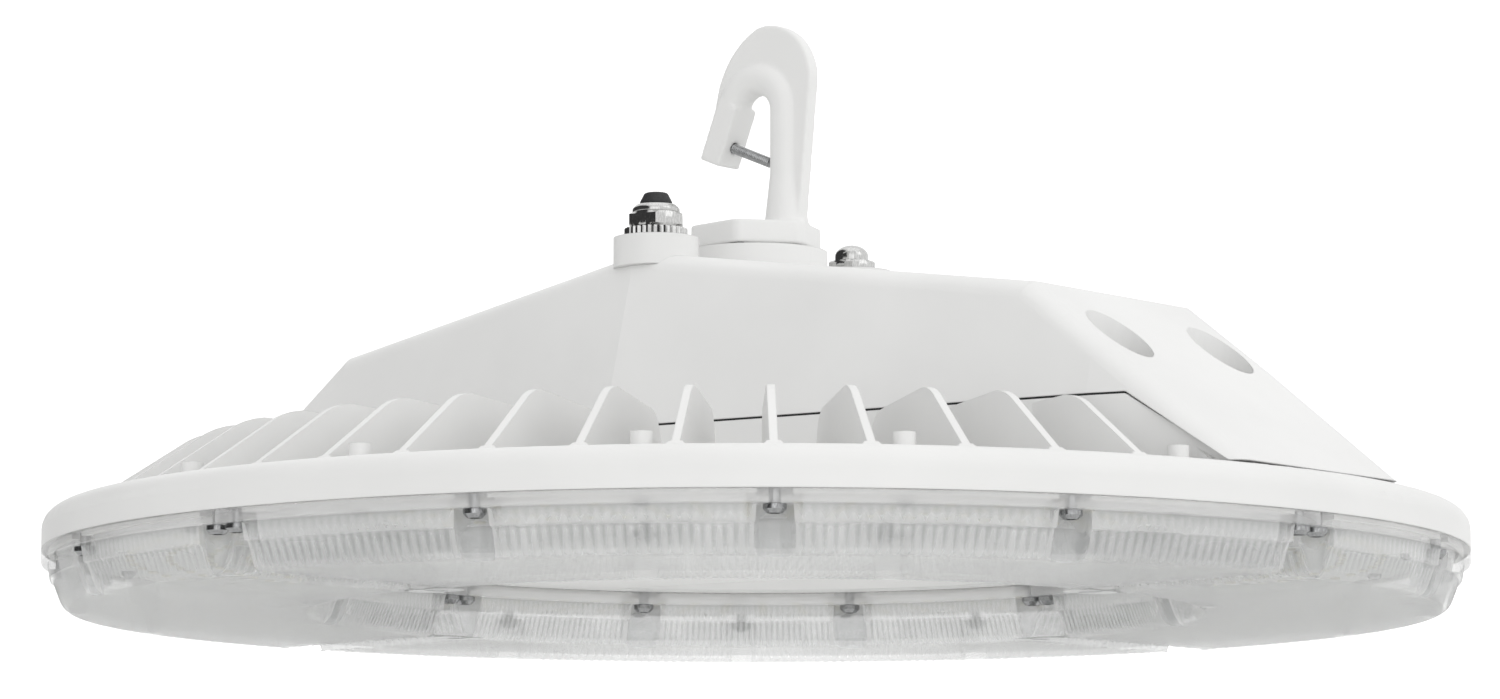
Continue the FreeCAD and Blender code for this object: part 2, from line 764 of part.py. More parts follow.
def makeLensForm():
    flangeLow = s.lensHeight - s.flangeThick
    outline = sector(asSize(0.0), lensBore, s.ringRadius, s.lensGap)
    flange = extrude(addOutline(freeSketch(flangeLow), outline), s.flangeThick)
    walls = sector(s.bodyInset, lensBore, s.ringRadius, s.lensGap)
    trough = extrude(addOutline(freeSketch(flangeLow), walls), flangeLow, down=True, taper=-s.bodyDraft)
    rim = rounded(trough, s.bodyRound, lambda edge: edge.BoundBox.ZMax < 0.01, "LensRound")
    wallRadius = s.pocketRadius + s.pocketWall
    cavity = lensPlan(s.cavityInset, s.lensFloor, s.lensHeight + over, wallRadius, True,
                      -s.cavityDraft)
    grooveLow = s.lensHeight - s.gasketThick
    outerEdge = s.cavityInset - s.gasketInset - s.gasketWide
    innerEdge = s.cavityInset - s.gasketInset

    def loop(play, high):
        wide = lensPlan(outerEdge - play, grooveLow, high,
                        wallRadius - s.gasketInset - s.gasketWide - play)
        tight = lensPlan(innerEdge + play, grooveLow - over, high + over,
                         wallRadius - s.gasketInset + play)
        return cut(wide, tight, "Loop")

    pockets = extrude(circles(lensScrewPlaces(), s.pocketRadius, -over), flangeLow + over)
    holes = extrude(circles(lensScrewPlaces(), s.lensScrew + s.clearPlay, flangeLow - over),
                    s.flangeThick + 2 * over)
    outside = fuse(flange, rim, name="LensOutside")
    hollow = cut(outside, cavity, "LensHollow")
    cleared = cut(hollow, fuse(pockets, holes, name="LensPockets"), "LensCleared")
    grooved = cut(cleared, loop(s.groovePlay, s.lensHeight + over), "LensForm")
    return grooved, loop(asSize(0.0), s.lensHeight)


def makeBoardForm():
    low = s.lensHeight - s.boardThick
    first = polarPoint(boardOuter, -s.boardHalfAngle)
    last = polarPoint(boardInner, s.boardHalfAngle)
    plan = [polarPoint(boardInner, -s.boardHalfAngle), (*first, boardOuter),
            polarPoint(boardOuter, s.boardHalfAngle), (*last, -boardInner)]
    board = extrude(addOutline(freeSketch(low), plan), s.boardThick)
    screws = [polarPoint(bossCircle, turn) for turn in bossTurns]
    wires = [polarPoint(wirePlace, turn) for turn in (-s.wireTurn, s.wireTurn)]
    holes = group(extrude(circles(screws, s.boardScrew + s.clearPlay, low - over), s.boardThick * 3),
                  extrude(circles(wires, s.wireRadius, low - over), s.boardThick * 3))
    return cut(board, holes, "BoardForm"), screws


def chipGroup(name, turn):
    side, high = s.chipSide.value, s.chipHigh.value
    low = s.lensHeight.value - s.boardThick.value - high
    chips = []
    count = int(s.chipCount.value)
    rows = int(s.chipRows.value)
    first = boardInner.value + s.chipInset.value
    last = boardOuter.value - s.chipOuterInset.value
    for row in range(rows):
        radius = first + (last - first) * row / (rows - 1)
        for i in range(count):
            chip = Part.makeBox(side, side, high, V(radius - side / 2, -side / 2, low))
            angle = turn + (i - (count - 1) / 2) * s.chipPitch.value
            chip.rotate(V(), V(0, 0, 1), angle)
            chips.append(chip)
    thing = doc.addObject("Part::Feature", name)
    thing.Shape = Part.makeCompound(chips)
    return label(thing, name)


def turnedCopy(form, name, turn):
    shape = form.Shape.copy()
    shape.rotate(V(), V(0, 0, 1), turn)
    thing = doc.addObject("Part::Feature", name)
    thing.Shape = shape
    return label(thing, name)


def makeLenses():
    lens, gasket = makeLensForm()
    board, boardScrews = makeBoardForm()
    doc.recompute()
    made = []
    for i in range(4):
        turn = s.lensTurn.value + 90.0 * i
        made.append(turnedCopy(lens, f"lens_{i + 1}", turn))
        made.append(turnedCopy(gasket, f"lens_gasket_{i + 1}", turn))
        made.append(turnedCopy(board, f"led_board_{i + 1}", turn))
        made.append(chipGroup(f"led_array_{i + 1}", turn))
    turns = [s.lensTurn + 90.0 * i for i in range(4)]
    lensScrew = screwForm("lensScrewForm", s.lensScrew, s.lensScrewLength, s.lensHeadRadius,
                          s.lensHeadHeight, s.lensHeadRadius)
    lensPlaces = [turned(x, y, turn) for turn in turns for x, y in lensScrewPlaces()]
    made.append(placed(lensScrew, "lens_screws", lensPlaces, s.lensHeight - s.flangeThick))
    boardScrew = screwForm("boardScrewForm", s.boardScrew, s.boardScrewLength, s.boardHeadRadius,
                           s.boardHeadHeight, s.boardHeadRadius)
    boardPlaces = [turned(x, y, turn) for turn in turns for x, y in boardScrews]
    made.append(placed(boardScrew, "board_screws", boardPlaces, s.lensHeight - s.boardThick))
    return made


def primitive(kind, name, place, turn=None, **fields):
    solid = doc.addObject(f"Part::{kind}", name)
    if turn is not None:
        solid.Placement = FreeCAD.Placement(V(), turn)
    for axis, value in zip("xyz", place):
        bind(solid, f"Placement.Base.{axis}", value)
    for field, value in fields.items():
        bind(solid, field, value)
    return solid


def makeHook():
    footLow = padTop + s.hookGap
    footTop = footLow + s.footThick
    bendZ = footLow + s.hookRise
    crownZ = footLow + s.crownRise
    zero = asSize(0.0)
    lean = s.tipTilt
    leftTurn = 180.0 - lean
    kneeX = s.bendX + s.bendRadius * cosine(leftTurn)
    kneeZ = bendZ + s.bendRadius * sine(leftTurn)
    tipX = kneeX - s.tipLength * sine(lean)
    tipZ = kneeZ - s.tipLength * cosine(lean)
    inX, inZ = s.bulbRadius * cosine(lean), -s.bulbRadius * sine(lean)
    outX, outZ = -s.tipOuter * cosine(lean), s.tipOuter * sine(lean)

    corner = s.footRadius * cosine(30.0) * 2
    foot = extrude(addOutline(freeSketch(footLow), hexagon(corner, s.footTurn)), s.footThick)
    disc = primitive("Cylinder", "FootRound", (zero, zero, footLow), Radius=s.footRadius - s.footEase,
                     Height=s.footThick)
    eased = common(foot, disc, "FootForm")
    stud = primitive("Cylinder", "Stud", (zero, zero, footLow - s.studLength), Radius=s.studRadius,
                     Height=s.studLength + over)
    shank = primitive("Cylinder", "Shank", (s.shankX, zero, footTop - over), Radius=s.bulbRadius,
                      Height=bendZ - footTop + over)
    flare = primitive("Cone", "Flare", (s.shankX, zero, footTop - over),
                      Radius1=s.bulbRadius * s.flareWide, Radius2=s.bulbRadius * s.flareTight,
                      Height=s.hookRise / 2)
    bend = primitive("Torus", "Bend", (s.bendX, zero, bendZ), upright, Radius1=s.bendRadius,
                     Radius2=s.bulbRadius, Angle3=leftTurn)
    crownX = s.crownX + s.crownRadius * cosine(s.crownTurn)
    crownHigh = crownZ + s.crownRadius * sine(s.crownTurn)
    backX = kneeX + outX * 2
    backZ = kneeZ + outZ * 2
    web = addOutline(freeSketch(turn=upright), [
        (s.shankX, footTop - over), (s.shankX + s.bulbRadius + s.webPast, footTop - over),
        (s.crownX + s.crownRadius, crownZ, s.crownRadius),
        (crownX, crownHigh, s.crownRadius * s.crownFlat),
        (backX, backZ), (tipX + outX, tipZ + outZ), (tipX, tipZ), (kneeX, kneeZ, -s.bendRadius),
        (s.bendX + s.bendRadius, bendZ)])
    tip = addOutline(freeSketch(turn=upright), [
        (tipX + outX, tipZ + outZ), (tipX + inX, tipZ + inZ), (kneeX + inX, kneeZ + inZ),
        (kneeX + outX, kneeZ + outZ)])
    casting = fuse(eased, stud, shank, flare, bend, extrude(web, s.webThick, both=True),
                   extrude(tip, s.bulbRadius * 2, both=True), name="HookCasting")
    latchAxis = FreeCAD.Rotation(V(0, 1, 0), 90.0 + lean.value)
    headX = tipX + s.latchRise * sine(lean) + outX
    headZ = tipZ + s.latchRise * cosine(lean) + outZ
    bore = primitive("Cylinder", "LatchBore", (headX, zero, headZ), latchAxis,
                     Radius=s.lensScrew + s.screwPlay, Height=s.bulbRadius + s.tipOuter + 2 * over)
    seat = primitive("Cylinder", "SpotFace", (headX, zero, headZ),
                     FreeCAD.Rotation(V(0, 1, 0), lean.value - 90.0),
                     Radius=s.latchHeadRadius + s.latchGap, Height=s.tipOuter * 2)
    lockX, lockY = polarPoint(s.footRadius - s.lockInset, s.footTurn - 60.0)
    lockBore = extrude(circles([(lockX, lockY)], s.lensScrew + s.screwPlay, footLow - over),
                       s.footThick + 2 * over)
    hook = label(cut(casting, group(bore, seat, lockBore), "HookForm"), "hook")

    reach = (s.shankX - s.bulbRadius - s.latchGap - headX) / cosine(lean) - s.lensScrew * tangent(lean)
    form = screwForm("latchForm", s.lensScrew, reach, s.latchHeadRadius, s.latchHeadHeight,
                     s.latchHeadRadius)
    doc.recompute()
    shape = form.Shape.copy()
    shape.rotate(V(), V(0, 1, 0), 90.0 + lean.value)
    shape.translate(V(headX.value, 0, headZ.value))
    latch = doc.addObject("Part::Feature", "Latch")
    latch.Shape = shape
    label(latch, "hook_latch_screw")

    lock = newBody("hook_lock_screw")
    grub = newSketch(lock, "XY_Plane", padTop)
    addCircle(grub, lockX, lockY, s.lensScrew)
    pad(lock, grub, s.hookGap + s.footThick - s.lockSunk)
    socket = newSketch(lock, "XY_Plane", footTop - s.lockSunk)
    addOutline(socket, hexagon(s.lensScrew, 0.0, lockX, lockY))
    pocket(lock, socket, s.lensScrew)

    seal = newBody("hook_seal")
    ring = newSketch(seal, "XY_Plane", padTop)
    addCircle(ring, zero, zero, s.footRadius - s.sealInset)
    addCircle(ring, zero, zero, s.studRadius + s.screwPlay)
    pad(seal, ring, s.hookGap)

    nut = newBody("hook_nut")
    under = roofTop - s.padDepth
    flats = newSketch(nut, "XY_Plane", under - s.nutThick)
    addOutline(flats, hexagon(s.nutFlats, 0.0))
    addCircle(flats, zero, zero, s.studRadius + s.screwPlay)
    pad(nut, flats, s.nutThick)
    return [hook, latch, lock, seal, nut]


def makeGland():
    zero = asSize(0.0)
    y = -s.cableBossPlace
    ringTop = bossTop + s.glandRingThick
    hexTop = ringTop + s.glandHexThick
    capTop = hexTop + s.glandCapThick
    plugRadius = s.glandPlugRadius - s.plugRim

    ring = newBody("gland_ring")
    outline = newSketch(ring, "XY_Plane", bossTop)
    addCircle(outline, zero, y, s.glandRingRadius)
    addCircle(outline, zero, y, s.glandThread + s.screwPlay)
    pad(ring, outline, s.glandRingThick)

    body = newBody("gland_body")
    flats = newSketch(body, "XY_Plane", ringTop)
    addOutline(flats, hexagon(s.glandFlats, s.hexTurn, zero, y))
    pad(body, flats, s.glandHexThick)
    thread = newSketch(body, "XY_Plane", ringTop)
    addCircle(thread, zero, y, s.glandThread)
    pad(body, thread, s.glandThreadLength, down=True)
    bore = newSketch(body, "XY_Plane", hexTop)
    addCircle(bore, zero, y, plugRadius + s.screwPlay)
    pocket(body, bore, s.glandHexThick + s.glandThreadLength + over)

    cap = newBody("gland_cap")
    nose = newSketch(cap, "XY_Plane", hexTop)
    addCircle(nose, zero, y, s.glandCapRadius)
    addCircle(nose, zero, y, plugRadius + s.screwPlay)
    pad(cap, nose, s.glandCapThick)
    roundEdges(cap, s.glandCapRound, lambda edge: edge.BoundBox.ZMin > capTop.value - 0.01
               and edge.BoundBox.XLength > 2 * (plugRadius.value + over))

    plug = newBody("gland_plug")
    profile = newSketch(plug, "XZ_Plane")
    dome = s.glandPlugRadius
    stem = s.glandHexThick + s.glandCapThick + s.plugPast
    addOutline(profile, [
        (zero, -stem), (plugRadius, -stem), (plugRadius, zero), (dome, zero), (dome, s.plugEdge),
        (dome - s.plugEase, s.glandPlugHigh), (zero, s.glandPlugHigh)])
    revolve(plug, profile)
    bind(plug, "Placement.Base.y", y)
    bind(plug, "Placement.Base.z", capTop)

    return [ring, body, cap, plug]


def makeVent():
    zero = asSize(0.0)
    y = s.cableBossPlace
    body = newBody("vent_body")
    flats = newSketch(body, "XY_Plane", bossTop)
    addOutline(flats, hexagon(s.ventFlats, s.hexTurn, zero, y))
    pad(body, flats, s.ventFlangeThick)
    thread = newSketch(body, "XY_Plane", bossTop)
    addCircle(thread, zero, y, s.ventThread)
    pad(body, thread, s.ventThreadLength, down=True)
    cap = newBody("vent_cap")
    profile = newSketch(cap, "XZ_Plane")
    radius, high = s.ventCapRadius, s.ventCapHigh
    addOutline(profile, [(zero, zero), (radius, zero), (radius, high * s.ventCapSide),
                         (radius * s.ventCapFlat, high), (zero, high)])
    revolve(cap, profile)
    bind(cap, "Placement.Base.y", y)
    bind(cap, "Placement.Base.z", bossTop + s.ventFlangeThick)
    return [body, cap]


def makeDriver():
    body = newBody("led_driver")
    low = plateTop
    half = s.driverLength / 2
    case = newSketch(body, "XY_Plane", low)
    wide = s.driverWide / 2
    addOutline(case, [(-half, -wide), (half, -wide), (half, wide), (-half, wide)])
    pad(body, case, s.driverHigh)
    ears = newSketch(body, "XY_Plane", low)
    reach = half + s.driverEar
    earWide = wide - s.driverEarInset
    addOutline(ears, [(-reach, -earWide), (reach, -earWide), (reach, earWide), (-reach, earWide)])
    pad(body, ears, s.driverEarThick)
    holes = newSketch(body, "XY_Plane", low)
    for x, y in driverScrewPlaces():
        addCircle(holes, x, y, s.lensScrew + s.clearPlay)
    pocket(body, holes, s.driverEarThick * 2, up=True)
    form = screwForm("driverScrewForm", s.lensScrew,
                     s.driverEarThick + s.trayFloor - s.driverScrewShort,
                     s.lensHeadRadius, s.lensHeadHeight, s.lensHeadRadius)
    screws = placed(form, "driver_screws", driverScrewPlaces(), low + s.driverEarThick, flip=True)

    block = newBody("terminal_block")
    base = newSketch(block, "XY_Plane", low)
    x0 = reach + s.terminalGap
    x1 = x0 + s.terminalWide
    addOutline(base, [(x0, -s.terminalLong / 2), (x1, -s.terminalLong / 2), (x1, s.terminalLong / 2),
                      (x0, s.terminalLong / 2)])
    pad(block, base, s.terminalHigh)
    ways = newSketch(block, "XY_Plane", low + s.terminalHigh)
    for i in range(3):
        addCircle(ways, (x0 + x1) / 2, (i - 1.0) * s.terminalLong / 3, s.terminalWay)
    pocket(block, ways, s.terminalHigh / 2)
    return [body, screws, block]


def makeCoverScrews():
    form = screwForm("coverScrewForm", s.coverScrew, s.coverScrewLength, s.coverHeadRadius,
                     s.coverHeadHeight, s.coverHeadRadius, cross=False)
    return placed(form, "cover_screws", coverScrewPlaces(), coverLow + s.recessFloor, flip=True)


def finish(nodes):
    doc.recompute()
    os.makedirs("parts", exist_ok=True)
    for thing in doc.Objects:
        if "Invalid" in thing.State or "Error" in thing.State:
            raise RuntimeError(f"{thing.Name} ({thing.Label}) did not build: {thing.State}")
    for thing in nodes:
        if thing.Shape.isNull() or not thing.Shape.isValid():
            raise RuntimeError(f"{thing.Label} has no valid shape")
    for thing in nodes:
        shape = thing.Shape
        print(f"{thing.Label}: {len(shape.Solids)} solids, {len(shape.Faces)} faces, "
              f"{shape.Volume / 1000:.2f} cm3")
        shape.exportStep(f"parts/{thing.Label}.step")


nodes = [makeRing(), makeCover(), makeCoverGasket(), makeCoverScrews()]
nodes += makeHook() + makeGland() + makeVent() + makeDriver() + makeLenses()
finish(nodes)
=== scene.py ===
import math

import bmesh
import bpy
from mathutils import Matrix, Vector
from mathutils.geometry import delaunay_2d_cdt


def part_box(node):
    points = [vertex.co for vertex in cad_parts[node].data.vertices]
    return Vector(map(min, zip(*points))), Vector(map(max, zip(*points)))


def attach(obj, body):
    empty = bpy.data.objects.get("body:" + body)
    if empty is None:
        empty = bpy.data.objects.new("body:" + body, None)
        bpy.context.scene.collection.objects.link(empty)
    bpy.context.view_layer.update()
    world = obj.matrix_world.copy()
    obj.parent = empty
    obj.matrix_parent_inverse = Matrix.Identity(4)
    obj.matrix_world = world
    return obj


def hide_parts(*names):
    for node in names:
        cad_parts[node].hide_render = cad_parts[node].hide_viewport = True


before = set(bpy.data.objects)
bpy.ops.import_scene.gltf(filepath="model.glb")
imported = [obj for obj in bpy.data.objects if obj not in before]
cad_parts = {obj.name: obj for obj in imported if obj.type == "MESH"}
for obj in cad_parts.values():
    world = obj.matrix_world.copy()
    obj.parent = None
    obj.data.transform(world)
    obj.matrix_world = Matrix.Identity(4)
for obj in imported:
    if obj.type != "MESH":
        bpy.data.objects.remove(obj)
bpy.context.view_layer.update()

mm = 0.001
scene = bpy.context.scene
scene.view_settings.view_transform = "Standard"


def toLinear(hexColour):
    # sRGB hex to the linear colour that the shaders work in
    parts = [int(hexColour[i:i + 2], 16) / 255 for i in (1, 3, 5)]
    return tuple(c / 12.92 if c <= 0.04045 else ((c + 0.055) / 1.055) ** 2.4 for c in parts) + (1.0,)


def addNode(tree, kind, settings, links):
    # settings: sockets, properties, or a ramp's stops as (place, hex colour or grey level);
    # links: socket name or number to (node, output name)
    node = tree.nodes.new(kind)
    for name, value in settings.items():
        if name == "stops":
            elements = node.color_ramp.elements
            while len(elements) < len(value):
                elements.new(0.5)
            for element, (place, colour) in zip(elements, value):
                element.position = place
                element.color = toLinear(colour) if isinstance(colour, str) else (colour,) * 3 + (1.0,)
        elif isinstance(name, int) or name in node.inputs:
            node.inputs[name].default_value = value
        else:
            setattr(node, name, value)
    for name, (source, output) in links.items():
        tree.links.new(source.outputs[output], node.inputs[name])
    return node


def startMaterial(name):
    material = bpy.data.materials.new(name)
    material.use_nodes = True
    tree = material.node_tree
    tree.nodes.clear()
    return material, tree


def putPiece(name, points, faces, material, stands=(), smooth=35.0):
    # points in millimetres in the frame of the whole light; the object itself is in metres
    mesh = bpy.data.meshes.new(name)
    mesh.from_pydata([(x * mm, y * mm, z * mm) for x, y, z in points], [], faces)
    work = bmesh.new()
    work.from_mesh(mesh)
    bmesh.ops.remove_doubles(work, verts=work.verts, dist=0.002 * mm)
    bmesh.ops.dissolve_degenerate(work, dist=0.001 * mm, edges=work.edges)
    bmesh.ops.recalc_face_normals(work, faces=work.faces)
    work.to_mesh(mesh)
    work.free()
    mesh.shade_smooth()
    mesh.set_sharp_from_angle(angle=math.radians(smooth))
    mesh.materials.append(material)
    piece = bpy.data.objects.new(name, mesh)
    scene.collection.objects.link(piece)
    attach(piece, "root")
    if stands:
        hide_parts(*stands)
    return piece


def turnedForm(profile, steps, radiusAt=None):
    # points and faces of a profile [(radius, height)] turned about Z; it starts and ends on the axis
    points, rows = [], []
    for radius, height in profile:
        if radius < 1e-6:
            rows.append([len(points)])
            points.append((0.0, 0.0, height))
            continue
        rows.append(list(range(len(points), len(points) + steps)))
        for i in range(steps):
            angle = 2 * math.pi * i / steps
            r = radiusAt(radius, height, angle) if radiusAt else radius
            points.append((r * math.cos(angle), r * math.sin(angle), height))
    faces = []
    for low, high in zip(rows, rows[1:]):
        for i in range(steps):
            j = (i + 1) % steps
            if len(low) == 1 and len(high) == 1:
                continue
            if len(low) == 1:
                faces.append((low[0], high[j], high[i]))
            elif len(high) == 1:
                faces.append((low[i], low[j], high[0]))
            else:
                faces.append((low[i], low[j], high[j], high[i]))
    return points, faces


def shifted(points, x=0.0, y=0.0, z=0.0):
    return [(px + x, py + y, pz + z) for px, py, pz in points]


def roundedProfile(corners, radius, steps=4):
    # a profile with its inner corners rounded
    out = [corners[0]]
    for before, corner, after in zip(corners, corners[1:], corners[2:]):
        a, b, c = Vector(before), Vector(corner), Vector(after)
        reach = min(radius, (a - b).length * 0.45, (c - b).length * 0.45)
        start, end = b + (a - b).normalized() * reach, b + (c - b).normalized() * reach
        for i in range(steps + 1):
            t = i / steps
            p = start * (1 - t) ** 2 + b * 2 * t * (1 - t) + end * t ** 2
            out.append((p.x, p.y))
    out.append(corners[-1])
    return out


print("scene: camera and studio")
studio = {
    "cameraPlace": (1.2764, -1.5267, -0.1532),
    "cameraAim": (0.0, 0.0, 0.1024),
    "lens": 125.75,
    "shift": -0.004,
    "sensor": 36.0,
    "farthest": 50.0,        # the camera sees this far
    "floorDepth": -0.62,
    "floorHalf": 6.0,
    "floorColour": "#EDEDEC",
    "floorGrain": 25.0,      # mm
    "backdrop": 1.3,         # what shows behind the object and through its lenses
    "skyHigh": 1.0,          # soft light from above, from the side and from below
    "skySide": 1.04,
    "skyLow": 0.98,
    "right": (0.767, 0.641, 0.0),
    "leftShare": 0.80,       # the studio's left side is dimmer than its right
    "rightShare": 1.00,
    "shareEnd": 0.3,         # how far across the full light begins, from -1 on the left to 1
    "flag": 0.05,            # dark card on the left that metal parts mirror
    "flagEdge": (-0.55, -0.40),
    "lampAim": (0.0, 0.0, 0.08),
    "keyPower": 5.0,
    "keyPlace": (2.6, 0.35, 1.7),
    "keySize": 1.8,
    "topPower": 4.0,
    "topPlace": (0.3, 0.2, 2.6),
    "topSize": 2.4,
    "fillPower": 5.0,        # a soft light from beside the camera
    "fillPlace": (1.3, -2.0, 0.1),
    "fillSize": 2.2,
}
cameraData = bpy.data.cameras.new("camera")
camera = bpy.data.objects.new("camera", cameraData)
scene.collection.objects.link(camera)
camera.location = studio["cameraPlace"]
sight = Vector(studio["cameraAim"]) - Vector(studio["cameraPlace"])
camera.rotation_mode = "QUATERNION"
camera.rotation_quaternion = sight.to_track_quat("-Z", "Y")
cameraData.lens = studio["lens"]
cameraData.sensor_width = studio["sensor"]
cameraData.shift_x = studio["shift"]
cameraData.clip_end = studio["farthest"]
scene.camera = camera

world = bpy.data.worlds.new("studioWorld")
scene.world = world
world.use_nodes = True
sky = world.node_tree
sky.nodes.clear()
skyCoords = addNode(sky, "ShaderNodeTexCoord", {}, {})
skySplit = addNode(sky, "ShaderNodeSeparateXYZ", {}, {"Vector": (skyCoords, "Generated")})
skyMap = addNode(sky, "ShaderNodeMapRange", {"From Min": -1.0, "From Max": 1.0},
                 {"Value": (skySplit, "Z")})
skyStops = [(0.0, studio["skyLow"]), (0.5, studio["skySide"]), (1.0, studio["skyHigh"])]
skyRamp = addNode(sky, "ShaderNodeValToRGB", {"stops": skyStops}, {"Fac": (skyMap, "Result")})
skySwing = addNode(sky, "ShaderNodeVectorMath", {"operation": "DOT_PRODUCT", 1: studio["right"]},
                   {0: (skyCoords, "Generated")})
skyShare = addNode(sky, "ShaderNodeMapRange",
                   {"From Min": -1.0, "From Max": studio["shareEnd"], "To Min": studio["leftShare"],
                    "To Max": studio["rightShare"]}, {"Value": (skySwing, "Value")})
skyLight = addNode(sky, "ShaderNodeBackground", {},
                   {"Color": (skyRamp, "Color"), "Strength": (skyShare, "Result")})
flagStart, flagEnd = studio["flagEdge"]
skyCard = addNode(sky, "ShaderNodeMapRange",
                  {"From Min": flagStart, "From Max": flagEnd, "To Min": studio["flag"], "To Max": 1.0},
                  {"Value": (skySwing, "Value")})
skyMirror = addNode(sky, "ShaderNodeBackground", {"Color": (1, 1, 1, 1)},
                    {"Strength": (skyCard, "Result")})
skyWhite = addNode(sky, "ShaderNodeBackground",
                   {"Color": (1, 1, 1, 1), "Strength": studio["backdrop"]}, {})
skyPath = addNode(sky, "ShaderNodeLightPath", {}, {})
skyThrough = addNode(sky, "ShaderNodeMath", {"operation": "MAXIMUM"},
                     {0: (skyPath, "Is Camera Ray"), 1: (skyPath, "Is Transmission Ray")})
skyGloss = addNode(sky, "ShaderNodeMixShader", {},
                   {"Fac": (skyPath, "Is Glossy Ray"), 1: (skyLight, "Background"),
                    2: (skyMirror, "Background")})
skyMix = addNode(sky, "ShaderNodeMixShader", {},
                 {"Fac": (skyThrough, "Value"), 1: (skyGloss, "Shader"), 2: (skyWhite, "Background")})
addNode(sky, "ShaderNodeOutputWorld", {}, {"Surface": (skyMix, "Shader")})


def putLight(name, place, size, power):
    data = bpy.data.lights.new(name, "AREA")
    data.energy = power
    data.size = size
    lamp = bpy.data.objects.new(name, data)
    scene.collection.objects.link(lamp)
    lamp.location = place
    aim = Vector(studio["lampAim"]) - Vector(place)
    lamp.rotation_euler = aim.to_track_quat("-Z", "Y").to_euler()


for lampName in ("key", "top", "fill"):
    putLight(f"{lampName}Light", studio[f"{lampName}Place"], studio[f"{lampName}Size"],
             studio[f"{lampName}Power"])

print("scene: finishes")


def powderCoat():
    # white polyester powder coat baked on die-cast aluminium: soft sheen, faint orange peel
    material, tree = startMaterial("powderCoatedDieCastAluminium")
    coords = addNode(tree, "ShaderNodeTexCoord", {}, {})
    # orange peel is 1 to 2 mm across
    peel = addNode(tree, "ShaderNodeTexNoise", {"Scale": 1 / (1.6 * mm), "Detail": 2.0},
                   {"Vector": (coords, "Object")})
    cloud = addNode(tree, "ShaderNodeTexNoise", {"Scale": 1 / (60 * mm), "Detail": 3.0},
                    {"Vector": (coords, "Object")})
    colour = addNode(tree, "ShaderNodeValToRGB",
                     {"stops": [(0.35, "#E6E6E5"), (0.65, "#EAEAE9")]},
                     {"Fac": (cloud, "Fac")})
    sheen = addNode(tree, "ShaderNodeMapRange", {"To Min": 0.40, "To Max": 0.50}, {"Value": (peel, "Fac")})
    edge = addNode(tree, "ShaderNodeBevel", {"Radius": 0.7 * mm, "samples": 4}, {})
    bump = addNode(tree, "ShaderNodeBump", {"Strength": 0.10, "Distance": 0.06 * mm},
                   {"Height": (peel, "Fac"), "Normal": (edge, "Normal")})
    shader = addNode(tree, "ShaderNodeBsdfPrincipled", {"IOR": 1.5},
                     {"Base Color": (colour, "Color"), "Roughness": (sheen, "Result"),
                      "Normal": (bump, "Normal")})
    addNode(tree, "ShaderNodeOutputMaterial", {}, {"Surface": (shader, "BSDF")})
    return material


def polycarbonate():
    # clear injection-moulded polycarbonate: bright, slightly hazy where the mould was etched
    material, tree = startMaterial("clearMouldedPolycarbonate")
    coords = addNode(tree, "ShaderNodeTexCoord", {}, {})
    # the mould's etching is far finer; it is drawn at 0.9 mm so that it shows
    etch = addNode(tree, "ShaderNodeTexNoise", {"Scale": 1 / (0.9 * mm), "Detail": 2.0},
                   {"Vector": (coords, "Object")})
    haze = addNode(tree, "ShaderNodeMapRange", {"To Min": 0.10, "To Max": 0.24}, {"Value": (etch, "Fac")})
    bump = addNode(tree, "ShaderNodeBump", {"Strength": 0.05, "Distance": 0.05 * mm},
                   {"Height": (etch, "Fac")})
    # painted highlight along the crests of the moulded ribs and painted shade in their roots: the base
    # colour follows the mesh's pointiness
    shape = addNode(tree, "ShaderNodeNewGeometry", {}, {})
    paintedRibShade = addNode(tree, "ShaderNodeMapRange", {"From Min": 0.46, "From Max": 0.54},
                    {"Value": (shape, "Pointiness")})
    # painted shade and highlight: grey in the rib roots, white on the crests
    colour = addNode(tree, "ShaderNodeValToRGB",
                     {"stops": [(0.0, "#B9BBBB"), (0.5, "#FAFBFB"), (1.0, "#FFFFFF")]},
                     {"Fac": (paintedRibShade, "Result")})
    shader = addNode(tree, "ShaderNodeBsdfPrincipled",
                     {"IOR": 1.585, "Transmission Weight": 0.4, "Alpha": 0.45},
                     {"Base Color": (colour, "Color"), "Roughness": (haze, "Result"),
                      "Normal": (bump, "Normal")})
    addNode(tree, "ShaderNodeOutputMaterial", {}, {"Surface": (shader, "BSDF")})
    return material


def rubber(name, dark, light, rough):
    # moulded elastomer: matt, with a fine grain
    material, tree = startMaterial(name)
    coords = addNode(tree, "ShaderNodeTexCoord", {}, {})
    grain = addNode(tree, "ShaderNodeTexNoise", {"Scale": 1 / (0.8 * mm), "Detail": 4.0},
                    {"Vector": (coords, "Object")})
    colour = addNode(tree, "ShaderNodeValToRGB",
                     {"stops": [(0.3, dark), (0.7, light)]},
                     {"Fac": (grain, "Fac")})
    bump = addNode(tree, "ShaderNodeBump", {"Strength": 0.2, "Distance": 0.05 * mm},
                   {"Height": (grain, "Fac")})
    shader = addNode(tree, "ShaderNodeBsdfPrincipled", {"IOR": 1.5, "Roughness": rough},
                     {"Base Color": (colour, "Color"), "Normal": (bump, "Normal")})
    addNode(tree, "ShaderNodeOutputMaterial", {}, {"Surface": (shader, "BSDF")})
    return material


